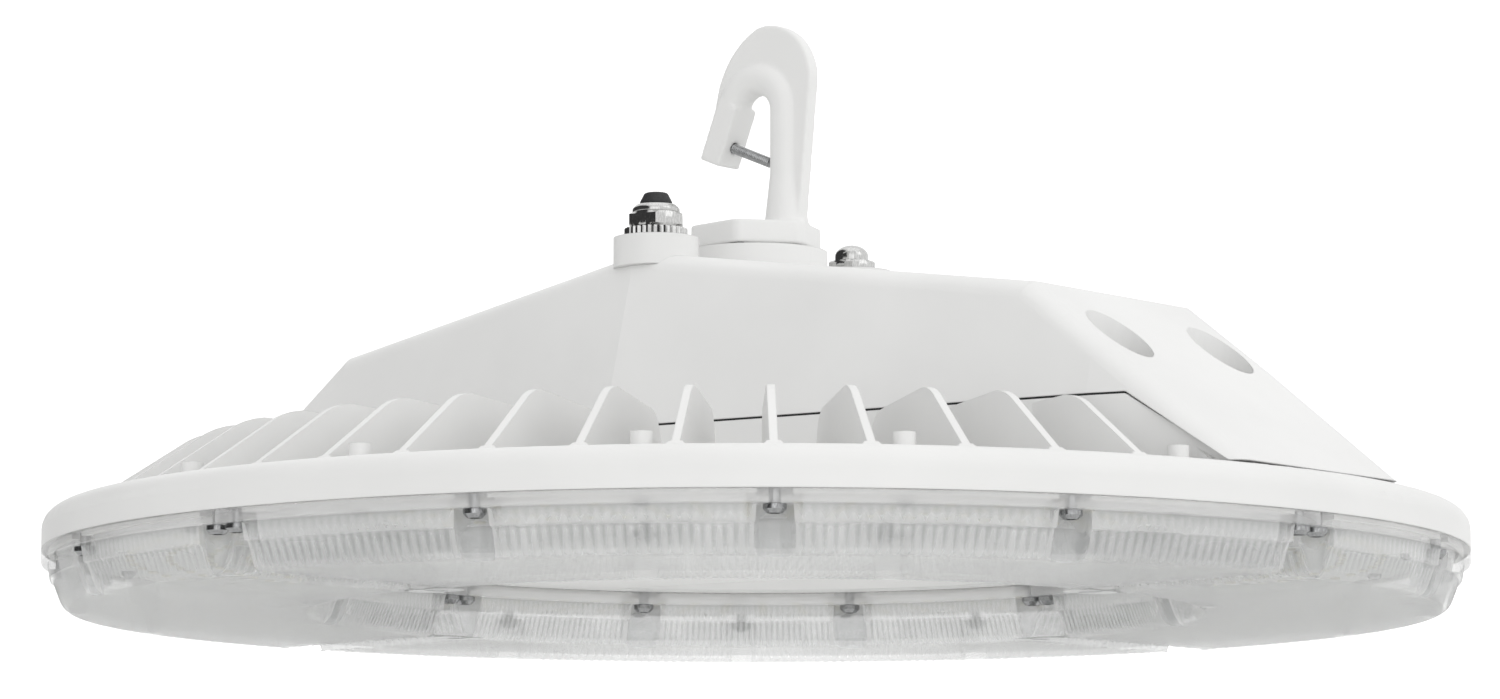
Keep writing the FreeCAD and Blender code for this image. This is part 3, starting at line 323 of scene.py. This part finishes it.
def machinedMetal(name, dark, light, roughLow, roughHigh, grainLength):
    # cut or plated metal: turning marks stretch its highlights a little
    material, tree = startMaterial(name)
    coords = addNode(tree, "ShaderNodeTexCoord", {}, {})
    place = addNode(tree, "ShaderNodeMapping", {"Scale": (1.0, 1.0, grainLength)},
                    {"Vector": (coords, "Object")})
    # turning marks are about 0.1 mm apart; drawn at 0.5 mm so that they show
    marks = addNode(tree, "ShaderNodeTexNoise", {"Scale": 1 / (0.5 * mm), "Detail": 3.0},
                    {"Vector": (place, "Vector")})
    colour = addNode(tree, "ShaderNodeValToRGB",
                     {"stops": [(0.3, dark), (0.7, light)]},
                     {"Fac": (marks, "Fac")})
    rough = addNode(tree, "ShaderNodeMapRange", {"To Min": roughLow, "To Max": roughHigh},
                    {"Value": (marks, "Fac")})
    bump = addNode(tree, "ShaderNodeBump", {"Strength": 0.06, "Distance": 0.03 * mm},
                   {"Height": (marks, "Fac")})
    shader = addNode(tree, "ShaderNodeBsdfPrincipled", {"Metallic": 1.0},
                     {"Base Color": (colour, "Color"), "Roughness": (rough, "Result"),
                      "Normal": (bump, "Normal")})
    addNode(tree, "ShaderNodeOutputMaterial", {}, {"Surface": (shader, "BSDF")})
    return material


def boardFace():
    # white solder mask on an aluminium-core board, with faint copper tracks under it
    material, tree = startMaterial("whiteSolderMaskBoard")
    coords = addNode(tree, "ShaderNodeTexCoord", {}, {})
    tracks = addNode(tree, "ShaderNodeTexVoronoi", {"Scale": 1 / (9 * mm), "feature": "DISTANCE_TO_EDGE"},
                     {"Vector": (coords, "Object")})
    colour = addNode(tree, "ShaderNodeValToRGB",
                     {"stops": [(0.03, "#E4E4E2"), (0.06, "#F1F1F0")]},
                     {"Fac": (tracks, "Distance")})
    bump = addNode(tree, "ShaderNodeBump", {"Strength": 0.1, "Distance": 0.03 * mm},
                   {"Height": (tracks, "Distance")})
    shader = addNode(tree, "ShaderNodeBsdfPrincipled", {"IOR": 1.5, "Roughness": 0.35},
                     {"Base Color": (colour, "Color"), "Normal": (bump, "Normal")})
    addNode(tree, "ShaderNodeOutputMaterial", {}, {"Surface": (shader, "BSDF")})
    return material


finishes = {
    "powder": powderCoat(),
    "lens": polycarbonate(),
    "epdm": rubber("epdmRubber", "#232425", "#303132", 0.62),
    "silicone": rubber("whiteSiliconeRubber", "#E2E2E0", "#ECECEA", 0.45),
    "steel": machinedMetal("turnedA2Stainless", "#8F9091", "#B4B5B6", 0.16, 0.30, 0.3),
    "nickel": machinedMetal("nickelPlatedBrass", "#BDBDBC", "#D6D6D5", 0.08, 0.16, 0.3),
    "board": boardFace(),
    "chips": rubber("phosphorSilicone", "#E9E4CB", "#F0ECD8", 0.4),
    "case": machinedMetal("brushedAluminiumCase", "#9FA1A3", "#BCBEC0", 0.35, 0.5, 0.05),
    "nylon": rubber("mouldedPolyamide", "#C9CAC8", "#D4D5D3", 0.5),
}

carried = {
    "powder": ["heatsink_ring", "driver_cover"],
    "epdm": ["cover_gasket", "hook_seal"],
    "steel": ["cover_screws", "hook_lock_screw", "hook_nut", "driver_screws", "lens_screws",
              "board_screws"],
    "silicone": [f"lens_gasket_{i}" for i in range(1, 5)],
    "board": [f"led_board_{i}" for i in range(1, 5)],
    "chips": [f"led_array_{i}" for i in range(1, 5)],
    "case": ["led_driver"],
    "nylon": ["terminal_block"],
}
for finish, names in carried.items():
    for name in names:
        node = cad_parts[name]
        for i in range(len(node.material_slots)):
            node.material_slots[i].link = "OBJECT"
            node.material_slots[i].material = finishes[finish]

floorMaterial, floorTree = startMaterial("paleStudioFloor")
floorCoords = addNode(floorTree, "ShaderNodeTexCoord", {}, {})
floorNoise = addNode(floorTree, "ShaderNodeTexNoise",
                     {"Scale": 1 / (studio["floorGrain"] * mm), "Detail": 3.0},
                     {"Vector": (floorCoords, "Object")})
floorRough = addNode(floorTree, "ShaderNodeMapRange", {"To Min": 0.75, "To Max": 0.85},
                     {"Value": (floorNoise, "Fac")})
floorShader = addNode(floorTree, "ShaderNodeBsdfPrincipled",
                      {"Base Color": toLinear(studio["floorColour"])},
                      {"Roughness": (floorRough, "Result")})
addNode(floorTree, "ShaderNodeOutputMaterial", {}, {"Surface": (floorShader, "BSDF")})
floorMesh = bpy.data.meshes.new("floor")
half, depth = studio["floorHalf"], studio["floorDepth"]
floorMesh.from_pydata([(-half, -half, depth), (half, -half, depth), (half, half, depth),
                       (-half, half, depth)], [], [(0, 1, 2, 3)])
floorMesh.materials.append(floorMaterial)
floor = bpy.data.objects.new("floor", floorMesh)
scene.collection.objects.link(floor)


print("scene: lenses")
lens = {
    "turn": 41.25,           # degrees from +X to the first lens's centre line
    "bore": 160.0,
    "radius": 270.0,
    "gap": 0.8,
    "top": 22.0,
    "outerCircle": 264.0,
    "innerCircle": 166.0,
    "outerTurns": (-43.9, -22.2, 0.0, 22.2, 43.9),
    "innerTurns": (43.6, 14.8, -14.8, -43.6),
    "pocket": 7.0,
    "ribTurn": 0.8,          # degrees from rib to rib, 3.7 mm at the outside
    "ribStep": 3.7,          # mm between the ribs of the side walls
    "samples": 4,            # points to a rib
    "pocketSteps": 14,
    # inset from the flange's edge, height, depth of the ribs
    "skin": [(2.5, 17.0, 0.0), (2.6, 16.4, 0.25), (3.3, 11.6, 0.30), (3.5, 10.9, 0.30), (4.6, 10.5, 0.30),
             (4.9, 9.6, 0.60), (6.0, 6.6, 0.70), (7.0, 4.0, 0.70), (7.8, 2.4, 0.60), (8.8, 1.2, 0.5),
             (10.0, 0.4, 0.4), (11.2, 0.0, 0.3)],
    "floorRib": 0.55,
    "floorRow": 9.0,
    "cavityInset": 5.5,
    "cavityFall": 4.7,       # how far the cavity narrows towards its floor
    "cavityFloor": 3.0,
    "cavityPocket": 9.6,
    "floorMargin": 1.5,      # plain rim round the grooved floor
    "pocketClear": 1.2,      # plain floor round a screw pocket
    "ribFade": 4.0,          # the floor's ribs die out over this
    # the flange's edge: inset and height
    "flangeEdge": [(0.5, 17.0), (0.15, 17.15), (0.0, 17.5), (0.0, 21.6), (0.4, 22.0)],
    "edgeSteps": 160,
    "sharp": 50.0,           # degrees; a bend sharper than this shows as an edge
}
quarter = math.radians(45.0)
along = Vector((math.cos(quarter), math.sin(quarter)))
across = Vector((-math.sin(quarter), math.cos(quarter)))


def arcReach(radius, circle, hole):
    # half the angle that a screw pocket takes out of an arc
    cosine = (radius ** 2 + circle ** 2 - hole ** 2) / (2 * radius * circle)
    return math.acos(max(-1.0, min(1.0, cosine)))


def lensOutline(inset, hole, steps):
    # one lens's plan about +X: (point, outward direction, rib phase, rib weight) all round
    outer, inner = lens["radius"] - inset, lens["bore"] + inset
    side = lens["gap"] / 2 + inset
    ribTurn = math.radians(lens["ribTurn"])
    out = []

    def arc(radius, first, last, sign):
        count = max(2, int(abs(last - first) / ribTurn * steps))
        for i in range(count + 1):
            turn = first + (last - first) * i / count
            face = Vector((math.cos(turn), math.sin(turn)))
            weight = min(1.0, i / 3, (count - i) / 3)
            out.append((face * radius, face * sign, turn / ribTurn, weight))

    def flank(first, last, mirror):
        count = max(2, int(abs(last - first) / lens["ribStep"] * steps))
        for i in range(count + 1):
            reach = first + (last - first) * i / count
            point = along * reach - across * side
            face = across.copy()
            if mirror < 0:
                point.y, face.y = -point.y, -face.y
            weight = min(1.0, i / 3, (count - i) / 3)
            out.append((point, face, reach / lens["ribStep"], weight))

    def bite(centre, start, end):
        a, b = start - centre, end - centre
        turnA, turnB = math.atan2(a.y, a.x), math.atan2(b.y, b.x)
        sweep = (turnA - turnB) % (2 * math.pi)
        count = lens["pocketSteps"]
        for i in range(1, count):
            t = i / count
            turn = turnA - sweep * t
            reach = a.length * (1 - t) + b.length * t
            face = Vector((math.cos(turn), math.sin(turn)))
            place = centre + face * reach
            if place.length > outer:
                place *= outer / place.length
            out.append((place, -face, 0.0, 0.0))

    def polar(radius, turn):
        return Vector((math.cos(turn), math.sin(turn))) * radius

    def flankReach(centre, sign):
        place, offset = centre.dot(along), centre.dot(across)
        return place + sign * math.sqrt(max(0.0, hole ** 2 - (offset + side) ** 2))

    outerTurns = [math.radians(t) for t in lens["outerTurns"]]
    innerTurns = [math.radians(t) for t in lens["innerTurns"]]
    outerCut = arcReach(outer, lens["outerCircle"], hole)
    innerCut = arcReach(inner, lens["innerCircle"], hole)
    mirrorY = Vector((1.0, -1.0))

    for first, last in zip(outerTurns, outerTurns[1:]):
        arc(outer, first + outerCut, last - outerCut, 1.0)
        centre = polar(lens["outerCircle"], last)
        if last < outerTurns[-1]:
            bite(centre, polar(outer, last - outerCut), polar(outer, last + outerCut))
    cornerOut = polar(lens["outerCircle"], outerTurns[-1])
    cornerIn = polar(lens["innerCircle"], innerTurns[0])
    flankOut, flankIn = flankReach(cornerOut, -1.0), flankReach(cornerIn, 1.0)
    bite(cornerOut, polar(outer, outerTurns[-1] - outerCut), along * flankOut - across * side)
    flank(flankOut, flankIn, 1.0)
    bite(cornerIn, along * flankIn - across * side, polar(inner, innerTurns[0] - innerCut))
    for first, last in zip(innerTurns, innerTurns[1:]):
        arc(inner, first - innerCut, last + innerCut, -1.0)
        centre = polar(lens["innerCircle"], last)
        if last > innerTurns[-1]:
            bite(centre, polar(inner, last + innerCut), polar(inner, last - innerCut))
    lowIn = (along * flankIn - across * side) * mirrorY
    lowOut = (along * flankOut - across * side) * mirrorY
    bite(cornerIn * mirrorY, polar(inner, innerTurns[-1] + innerCut), lowIn)
    flank(flankIn, flankOut, -1.0)
    bite(cornerOut * mirrorY, lowOut, polar(outer, outerTurns[0] + outerCut))
    return out


def sectorOutline(inset, steps):
    # the flange's plan: a quarter ring with square corners
    outer, inner = lens["radius"] - inset, lens["bore"] + inset
    side = lens["gap"] / 2 + inset
    outerTurn = quarter - math.asin(side / outer)
    innerTurn = quarter - math.asin(side / inner)
    out = [Vector((math.cos(t), math.sin(t))) * outer
           for t in (outerTurn * (2 * i / steps - 1) for i in range(steps + 1))]
    out += [Vector((math.cos(t), math.sin(t))) * inner
            for t in (innerTurn * (1 - 2 * i / steps) for i in range(steps + 1))]
    return out


def wave(phase):
    return 0.5 - 0.5 * math.cos(2 * math.pi * phase)


class LensMesh:
    # gathers one lens's points and faces
    def __init__(self):
        self.points, self.faces = [], []

    def ring(self, places):
        first = len(self.points)
        self.points += places
        return list(range(first, first + len(places)))

    def wall(self, low, high):
        count = len(low)
        for i in range(count):
            j = (i + 1) % count
            self.faces.append((low[i], low[j], high[j], high[i]))

    def web(self, outside, holes, extra=()):
        # fills the plane between closed rings, through any extra points
        loops = [outside] + list(holes)
        index = [i for loop in loops for i in loop] + list(extra)
        flat = [Vector(self.points[i][:2]) for i in index]
        edges, start = [], 0
        for loop in loops:
            edges += [(start + i, start + (i + 1) % len(loop)) for i in range(len(loop))]
            start += len(loop)
        found = delaunay_2d_cdt(flat, edges, [], 0, 1e-7)
        where = [origins[0] if origins else None for origins in found[3]]
        inside = insideTest([flat[i] for i in range(len(outside))])
        holeTests, start = [], len(outside)
        for loop in holes:
            holeTests.append(insideTest(flat[start:start + len(loop)]))
            start += len(loop)
        for face in found[2]:
            middle = sum((found[0][i] for i in face), Vector((0, 0))) / len(face)
            if any(where[i] is None for i in face) or not inside(middle):
                continue
            if any(test(middle) for test in holeTests):
                continue
            self.faces.append(tuple(index[where[i]] for i in face))


def insideTest(loop):
    # a quick point-in-outline test, by rows of edges sorted into bands of y
    low = min(p.y for p in loop)
    high = max(p.y for p in loop)
    count = 200
    span = (high - low) / count or 1.0
    bands = [[] for _ in range(count + 1)]
    for i, a in enumerate(loop):
        b = loop[(i + 1) % len(loop)]
        first = int((min(a.y, b.y) - low) / span)
        last = int((max(a.y, b.y) - low) / span)
        for band in range(first, min(last, count) + 1):
            bands[band].append((a, b))

    def test(p):
        if not low <= p.y <= high:
            return False
        crossings = 0
        for a, b in bands[int((p.y - low) / span)]:
            if (a.y > p.y) != (b.y > p.y):
                if p.x < a.x + (p.y - a.y) / (b.y - a.y) * (b.x - a.x):
                    crossings += 1
        return crossings % 2 == 1
    return test


def makeLens():
    made = LensMesh()
    rings = []
    base = lensOutline(lens["skin"][0][0], lens["pocket"], lens["samples"])
    for inset, height, depth in lens["skin"]:
        outline = matched(lensOutline(inset, lens["pocket"], lens["samples"]), base)
        places = []
        lift = lens["floorRib"] if height == 0.0 else 0.0
        for point, face, phase, weight in outline:
            cut = wave(phase) * weight
            p = point - face * depth * cut
            places.append((p.x, p.y, height + lift * cut))
        rings.append(made.ring(places))
    for low, high in zip(rings[1:], rings):
        made.wall(low, high)

    # bottom: radial ribs
    last = lens["skin"][-1][0]
    margin = last + lens["floorMargin"]
    outer, inner = lens["radius"] - margin, lens["bore"] + margin
    side = lens["gap"] / 2 + margin
    ribTurn = math.radians(lens["ribTurn"])
    columns = int(quarter / ribTurn * lens["samples"])
    rows = int((outer - inner) / lens["floorRow"])
    centres = [(lens["outerCircle"], t) for t in lens["outerTurns"]]
    centres += [(lens["innerCircle"], t) for t in lens["innerTurns"]]
    centres = [Vector((math.cos(math.radians(t)), math.sin(math.radians(t)))) * r for r, t in centres]
    places = []
    for row in range(rows + 1):
        radius = inner + (outer - inner) * row / rows
        for column in range(-columns, columns + 1):
            turn = ribTurn * column / lens["samples"]
            p = Vector((math.cos(turn), math.sin(turn))) * radius
            edge = radius * math.sin(quarter - abs(turn)) - side
            if edge < 0 or min((p - c).length for c in centres) < lens["pocket"] + lens["pocketClear"]:
                continue
            fade = min(1.0, edge / lens["ribFade"])
            places.append((p.x, p.y, lens["floorRib"] * wave(turn / ribTurn) * fade))
    made.web(rings[-1], [], made.ring(places))

    # flange: square edge with a small round, then the clear face up to the ring
    edgeRings = []
    for inset, height in lens["flangeEdge"]:
        outline = sectorOutline(inset, lens["edgeSteps"])
        edgeRings.append(made.ring([(p.x, p.y, height) for p in outline]))
    for low, high in zip(edgeRings, edgeRings[1:]):
        made.wall(low, high)
    made.web(edgeRings[0], [rings[0]])

    # inside of the trough
    cavityBase = lensOutline(lens["cavityInset"], lens["cavityPocket"], 1)
    cavityRings = []
    for inset, height in ((lens["cavityInset"], lens["top"]),
                          (lens["cavityInset"] + lens["cavityFall"], lens["cavityFloor"])):
        outline = matched(lensOutline(inset, lens["cavityPocket"], 1), cavityBase)
        cavityRings.append(made.ring([(p.x, p.y, height) for p, *rest in outline]))
    made.wall(*cavityRings)
    made.web(edgeRings[-1], [cavityRings[0]])
    made.web(cavityRings[1], [])
    return made.points, made.faces


def matched(outline, base):
    # the same number of points as the base outline, spread evenly along each run between pockets
    def runs(loop):
        found, current = [], [loop[0]]
        for before, item in zip(loop, loop[1:]):
            if (before[3] == 0.0 and before[2] == 0.0) != (item[3] == 0.0 and item[2] == 0.0):
                found.append(current)
                current = []
            current.append(item)
        found.append(current)
        return found

    out = []
    for mine, wanted in zip(runs(outline), runs(base)):
        count = len(wanted)
        if len(mine) == count:
            out += mine
            continue
        for i in range(count):
            place = i * (len(mine) - 1) / max(1, count - 1)
            low = min(int(place), len(mine) - 2)
            t = place - low
            a, b = mine[low], mine[low + 1]
            out.append((a[0].lerp(b[0], t), a[1].lerp(b[1], t), a[2] + (b[2] - a[2]) * t,
                        a[3] + (b[3] - a[3]) * t))
    return out


lensPoints, lensFaces = makeLens()
for number in range(4):
    swing = math.radians(lens["turn"] + 90.0 * number)
    cosine, sine = math.cos(swing), math.sin(swing)
    turnedPoints = [(x * cosine - y * sine, x * sine + y * cosine, z) for x, y, z in lensPoints]
    putPiece(f"ribbedLens{number + 1}", turnedPoints, lensFaces, finishes["lens"],
             [f"lens_{number + 1}"], smooth=lens["sharp"])
print(f"scene: a lens has {len(lensFaces)} faces")


print("scene: hook")
hook = {
    "voxel": 0.75,           # mm; the casting's skin is remeshed at this size
    "smoothing": 5,          # passes that round the cast edges
    "relax": 0.5,            # strength of each pass
    "weld": 0.01,            # mm
    "latchTilt": 22.4,
    "threadPitch": 0.9,      # the M4 thread's 0.7 mm drawn a little coarser so that it shows
    "threadDepth": 0.35,
    "threadStart": 0.6,      # below the head
    "threadRows": 6,         # rows of points to a turn
    "screwSteps": 28,
    "headRadius": 3.5,
    "headHigh": 2.4,
    "shankRadius": 2.0,
    "point": 0.7,            # the end's radius as a share of the shank's
    # the pan head with its recess, from the middle of its face
    "head": [(0.0, 0.7), (1.1, 0.7), (1.15, 0.05), (2.3, 0.0), (3.1, 0.35), (3.5, 1.1), (3.5, 2.25),
             (3.35, 2.4)],
}
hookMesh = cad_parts["hook"].data.copy()
castHook = bpy.data.objects.new("castHook", hookMesh)
scene.collection.objects.link(castHook)
weld = castHook.modifiers.new("weld", "WELD")
weld.merge_threshold = hook["weld"] * mm
remesh = castHook.modifiers.new("remesh", "REMESH")
remesh.mode = "VOXEL"
remesh.voxel_size = hook["voxel"] * mm
relax = castHook.modifiers.new("relax", "SMOOTH")
relax.factor = hook["relax"]
relax.iterations = hook["smoothing"]
bpy.context.view_layer.update()
casting = bpy.data.meshes.new_from_object(castHook.evaluated_get(bpy.context.evaluated_depsgraph_get()))
castHook.modifiers.clear()
castHook.data = casting
casting.shade_smooth()
casting.materials.clear()
casting.materials.append(finishes["powder"])
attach(castHook, "root")
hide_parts("hook")


def threadedScrew():
    # latch screw: pan head, threaded shank; it lies along the line from its head into the throat
    low, high = (Vector(c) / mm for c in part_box("hook_latch_screw"))
    tilt = math.radians(hook["latchTilt"])
    direction = Vector((math.cos(tilt), 0.0, -math.sin(tilt)))
    headRadius, headHigh, radius = hook["headRadius"], hook["headHigh"], hook["shankRadius"]
    span = ((high - low).x - headRadius * math.sin(tilt) - radius * math.sin(tilt)) / math.cos(tilt)
    length = span - headHigh
    headFace = Vector((low.x + headRadius * math.sin(tilt), 0.0, high.z - headRadius * math.cos(tilt)))
    pitch, depth = hook["threadPitch"], hook["threadDepth"]
    profile = hook["head"] + [(radius, headHigh)]
    rows = int(length / pitch * hook["threadRows"])
    profile += [(radius, headHigh + length * i / rows) for i in range(1, rows)]
    profile += [(radius * hook["point"], headHigh + length - 0.1), (0.0, headHigh + length)]

    def threadAt(r, height, angle):
        if r != radius or height < headHigh + hook["threadStart"]:
            return r
        turn = (height / pitch - angle / (2 * math.pi)) % 1.0
        return r - depth * (1.0 - abs(2 * turn - 1.0))
    points, faces = turnedForm(profile, hook["screwSteps"], threadAt)
    spin = direction.to_track_quat("Z", "Y").to_matrix()
    return [tuple(headFace + spin @ Vector(p)) for p in points], faces


latchPoints, latchFaces = threadedScrew()
putPiece("latchScrew", latchPoints, latchFaces, finishes["steel"], ["hook_latch_screw"])


print("scene: gland and vent")
gland = {
    "place": -58.5,
    "ringRadius": 11.9,
    "teeth": 34,
    "toothDepth": 0.7,
    "flats": 20.0,
    "ventFlats": 18.0,
    "turn": 10.0,
    "threadRadius": 8.0,
    "ventThread": 6.0,
    "ventFlange": 4.0,
    "chamfer": 0.9,          # turned-off corners of the six-sided bodies
    "steps": 96,             # points round a turned form
    "hexSteps": 144,
    "toothSteps": 6,         # points to a tooth
    "capRadius": 9.0,
    "capRound": 0.9,
    "capFoot": 8.7,
    "capShoulder": 7.4,
    "capMouth": 5.9,
    "capBore": 5.7,
    "plugRadius": 6.1,
    "plugNeck": 5.2,
    "plugCrown": 4.4,
    "plugTop": 3.0,
    "plugRound": 0.8,
    "domeRadius": 6.6,
    "domeSkirt": 2.2,        # straight part under the dome
    "domeRows": 10,
}


def hexRadius(flats, angle, turn):
    # distance from the middle to the flat at an angle
    corner = flats / 2 / math.cos(math.pi / 6)
    local = (angle - math.radians(turn)) % (math.pi / 3)
    return min(corner, flats / 2 / math.cos(local - math.pi / 6))


def topOf(node):
    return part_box(node)[1].z / mm


def footOf(node):
    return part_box(node)[0].z / mm


ringLow, ringHigh = footOf("gland_ring"), topOf("gland_ring")
ringProfile = roundedProfile([(0.0, ringLow), (gland["ringRadius"], ringLow),
                              (gland["ringRadius"], ringHigh), (0.0, ringHigh)], 0.4)


def toothAt(r, height, angle):
    if r < gland["ringRadius"] - 0.5:
        return r
    return r - gland["toothDepth"] * abs(math.sin(angle * gland["teeth"] / 2))


points, faces = turnedForm(ringProfile, gland["teeth"] * gland["toothSteps"], toothAt)
putPiece("glandLockRing", shifted(points, y=gland["place"]), faces, finishes["nickel"],
         ["gland_ring"], smooth=25.0)


def hexBody(name, node, flats, threadRadius, seat, place):
    # six-sided body with turned-off corners, and its thread below the seat
    top = topOf(node)
    foot = footOf(node)
    corner = flats / 2 / math.cos(math.pi / 6)
    chamfer = gland["chamfer"]
    profile = [(0.0, foot), (threadRadius - 0.6, foot), (threadRadius, foot + 0.6), (threadRadius, seat),
               (flats / 2 - 0.3, seat), (corner, seat + chamfer), (corner, top - chamfer),
               (flats / 2 - 0.3, top), (0.0, top)]

    def flatAt(r, height, angle):
        if height < seat - 1e-6 or r <= threadRadius:
            return r
        return min(r, hexRadius(flats, angle, gland["turn"]))
    made, sides = turnedForm(profile, gland["hexSteps"], flatAt)
    putPiece(name, shifted(made, y=place), sides, finishes["nickel"], [node],
             smooth=25.0)


hexBody("glandBody", "gland_body", gland["flats"], gland["threadRadius"], ringHigh, gland["place"])
capLow, capHigh = footOf("gland_cap"), topOf("gland_cap")
capRadius, capMouth = gland["capRadius"], gland["capMouth"]
capProfile = roundedProfile([(0.0, capLow), (gland["capFoot"], capLow), (capRadius, capLow + 0.5),
                             (capRadius, capHigh - 1.6), (gland["capShoulder"], capHigh),
                             (capMouth, capHigh), (gland["capBore"], capHigh - 0.5),
                             (0.0, capHigh - 0.5)], gland["capRound"], 5)
points, faces = turnedForm(capProfile, gland["steps"])
putPiece("glandCapNut", shifted(points, y=gland["place"]), faces, finishes["nickel"],
         ["gland_cap"], smooth=30.0)
plugHigh = topOf("gland_plug")
plugRadius, plugNeck = gland["plugRadius"], gland["plugNeck"]
plugProfile = roundedProfile([(0.0, capHigh - 0.4), (plugNeck, capHigh - 0.4), (plugNeck, capHigh),
                              (plugRadius, capHigh), (plugRadius, capHigh + 0.9),
                              (gland["plugCrown"], plugHigh - 0.3), (gland["plugTop"], plugHigh),
                              (0.0, plugHigh)], gland["plugRound"], 4)
points, faces = turnedForm(plugProfile, 72)
putPiece("glandPlug", shifted(points, y=gland["place"]), faces, finishes["epdm"],
         ["gland_plug"], smooth=40.0)

ventPlace = -gland["place"]
ventTop = topOf("vent_body")
hexBody("ventBody", "vent_body", gland["ventFlats"], gland["ventThread"],
        ventTop - gland["ventFlange"], ventPlace)
domeLow, domeHigh = footOf("vent_cap"), topOf("vent_cap")
domeRadius, domeSkirt, domeRows = gland["domeRadius"], gland["domeSkirt"], gland["domeRows"]
domeProfile = [(0.0, domeLow), (6.1, domeLow), (domeRadius, domeLow + 0.4),
               (domeRadius, domeLow + domeSkirt)]
domeProfile += [(domeRadius * math.cos(t),
                 domeLow + domeSkirt + (domeHigh - domeLow - domeSkirt) * math.sin(t))
                for t in (math.pi / 2 * i / domeRows for i in range(1, domeRows))]
domeProfile += [(0.0, domeHigh)]
points, faces = turnedForm(domeProfile, gland["steps"])
putPiece("ventDome", shifted(points, y=ventPlace), faces, finishes["nickel"],
         ["vent_cap"], smooth=40.0)

print("scene: done")
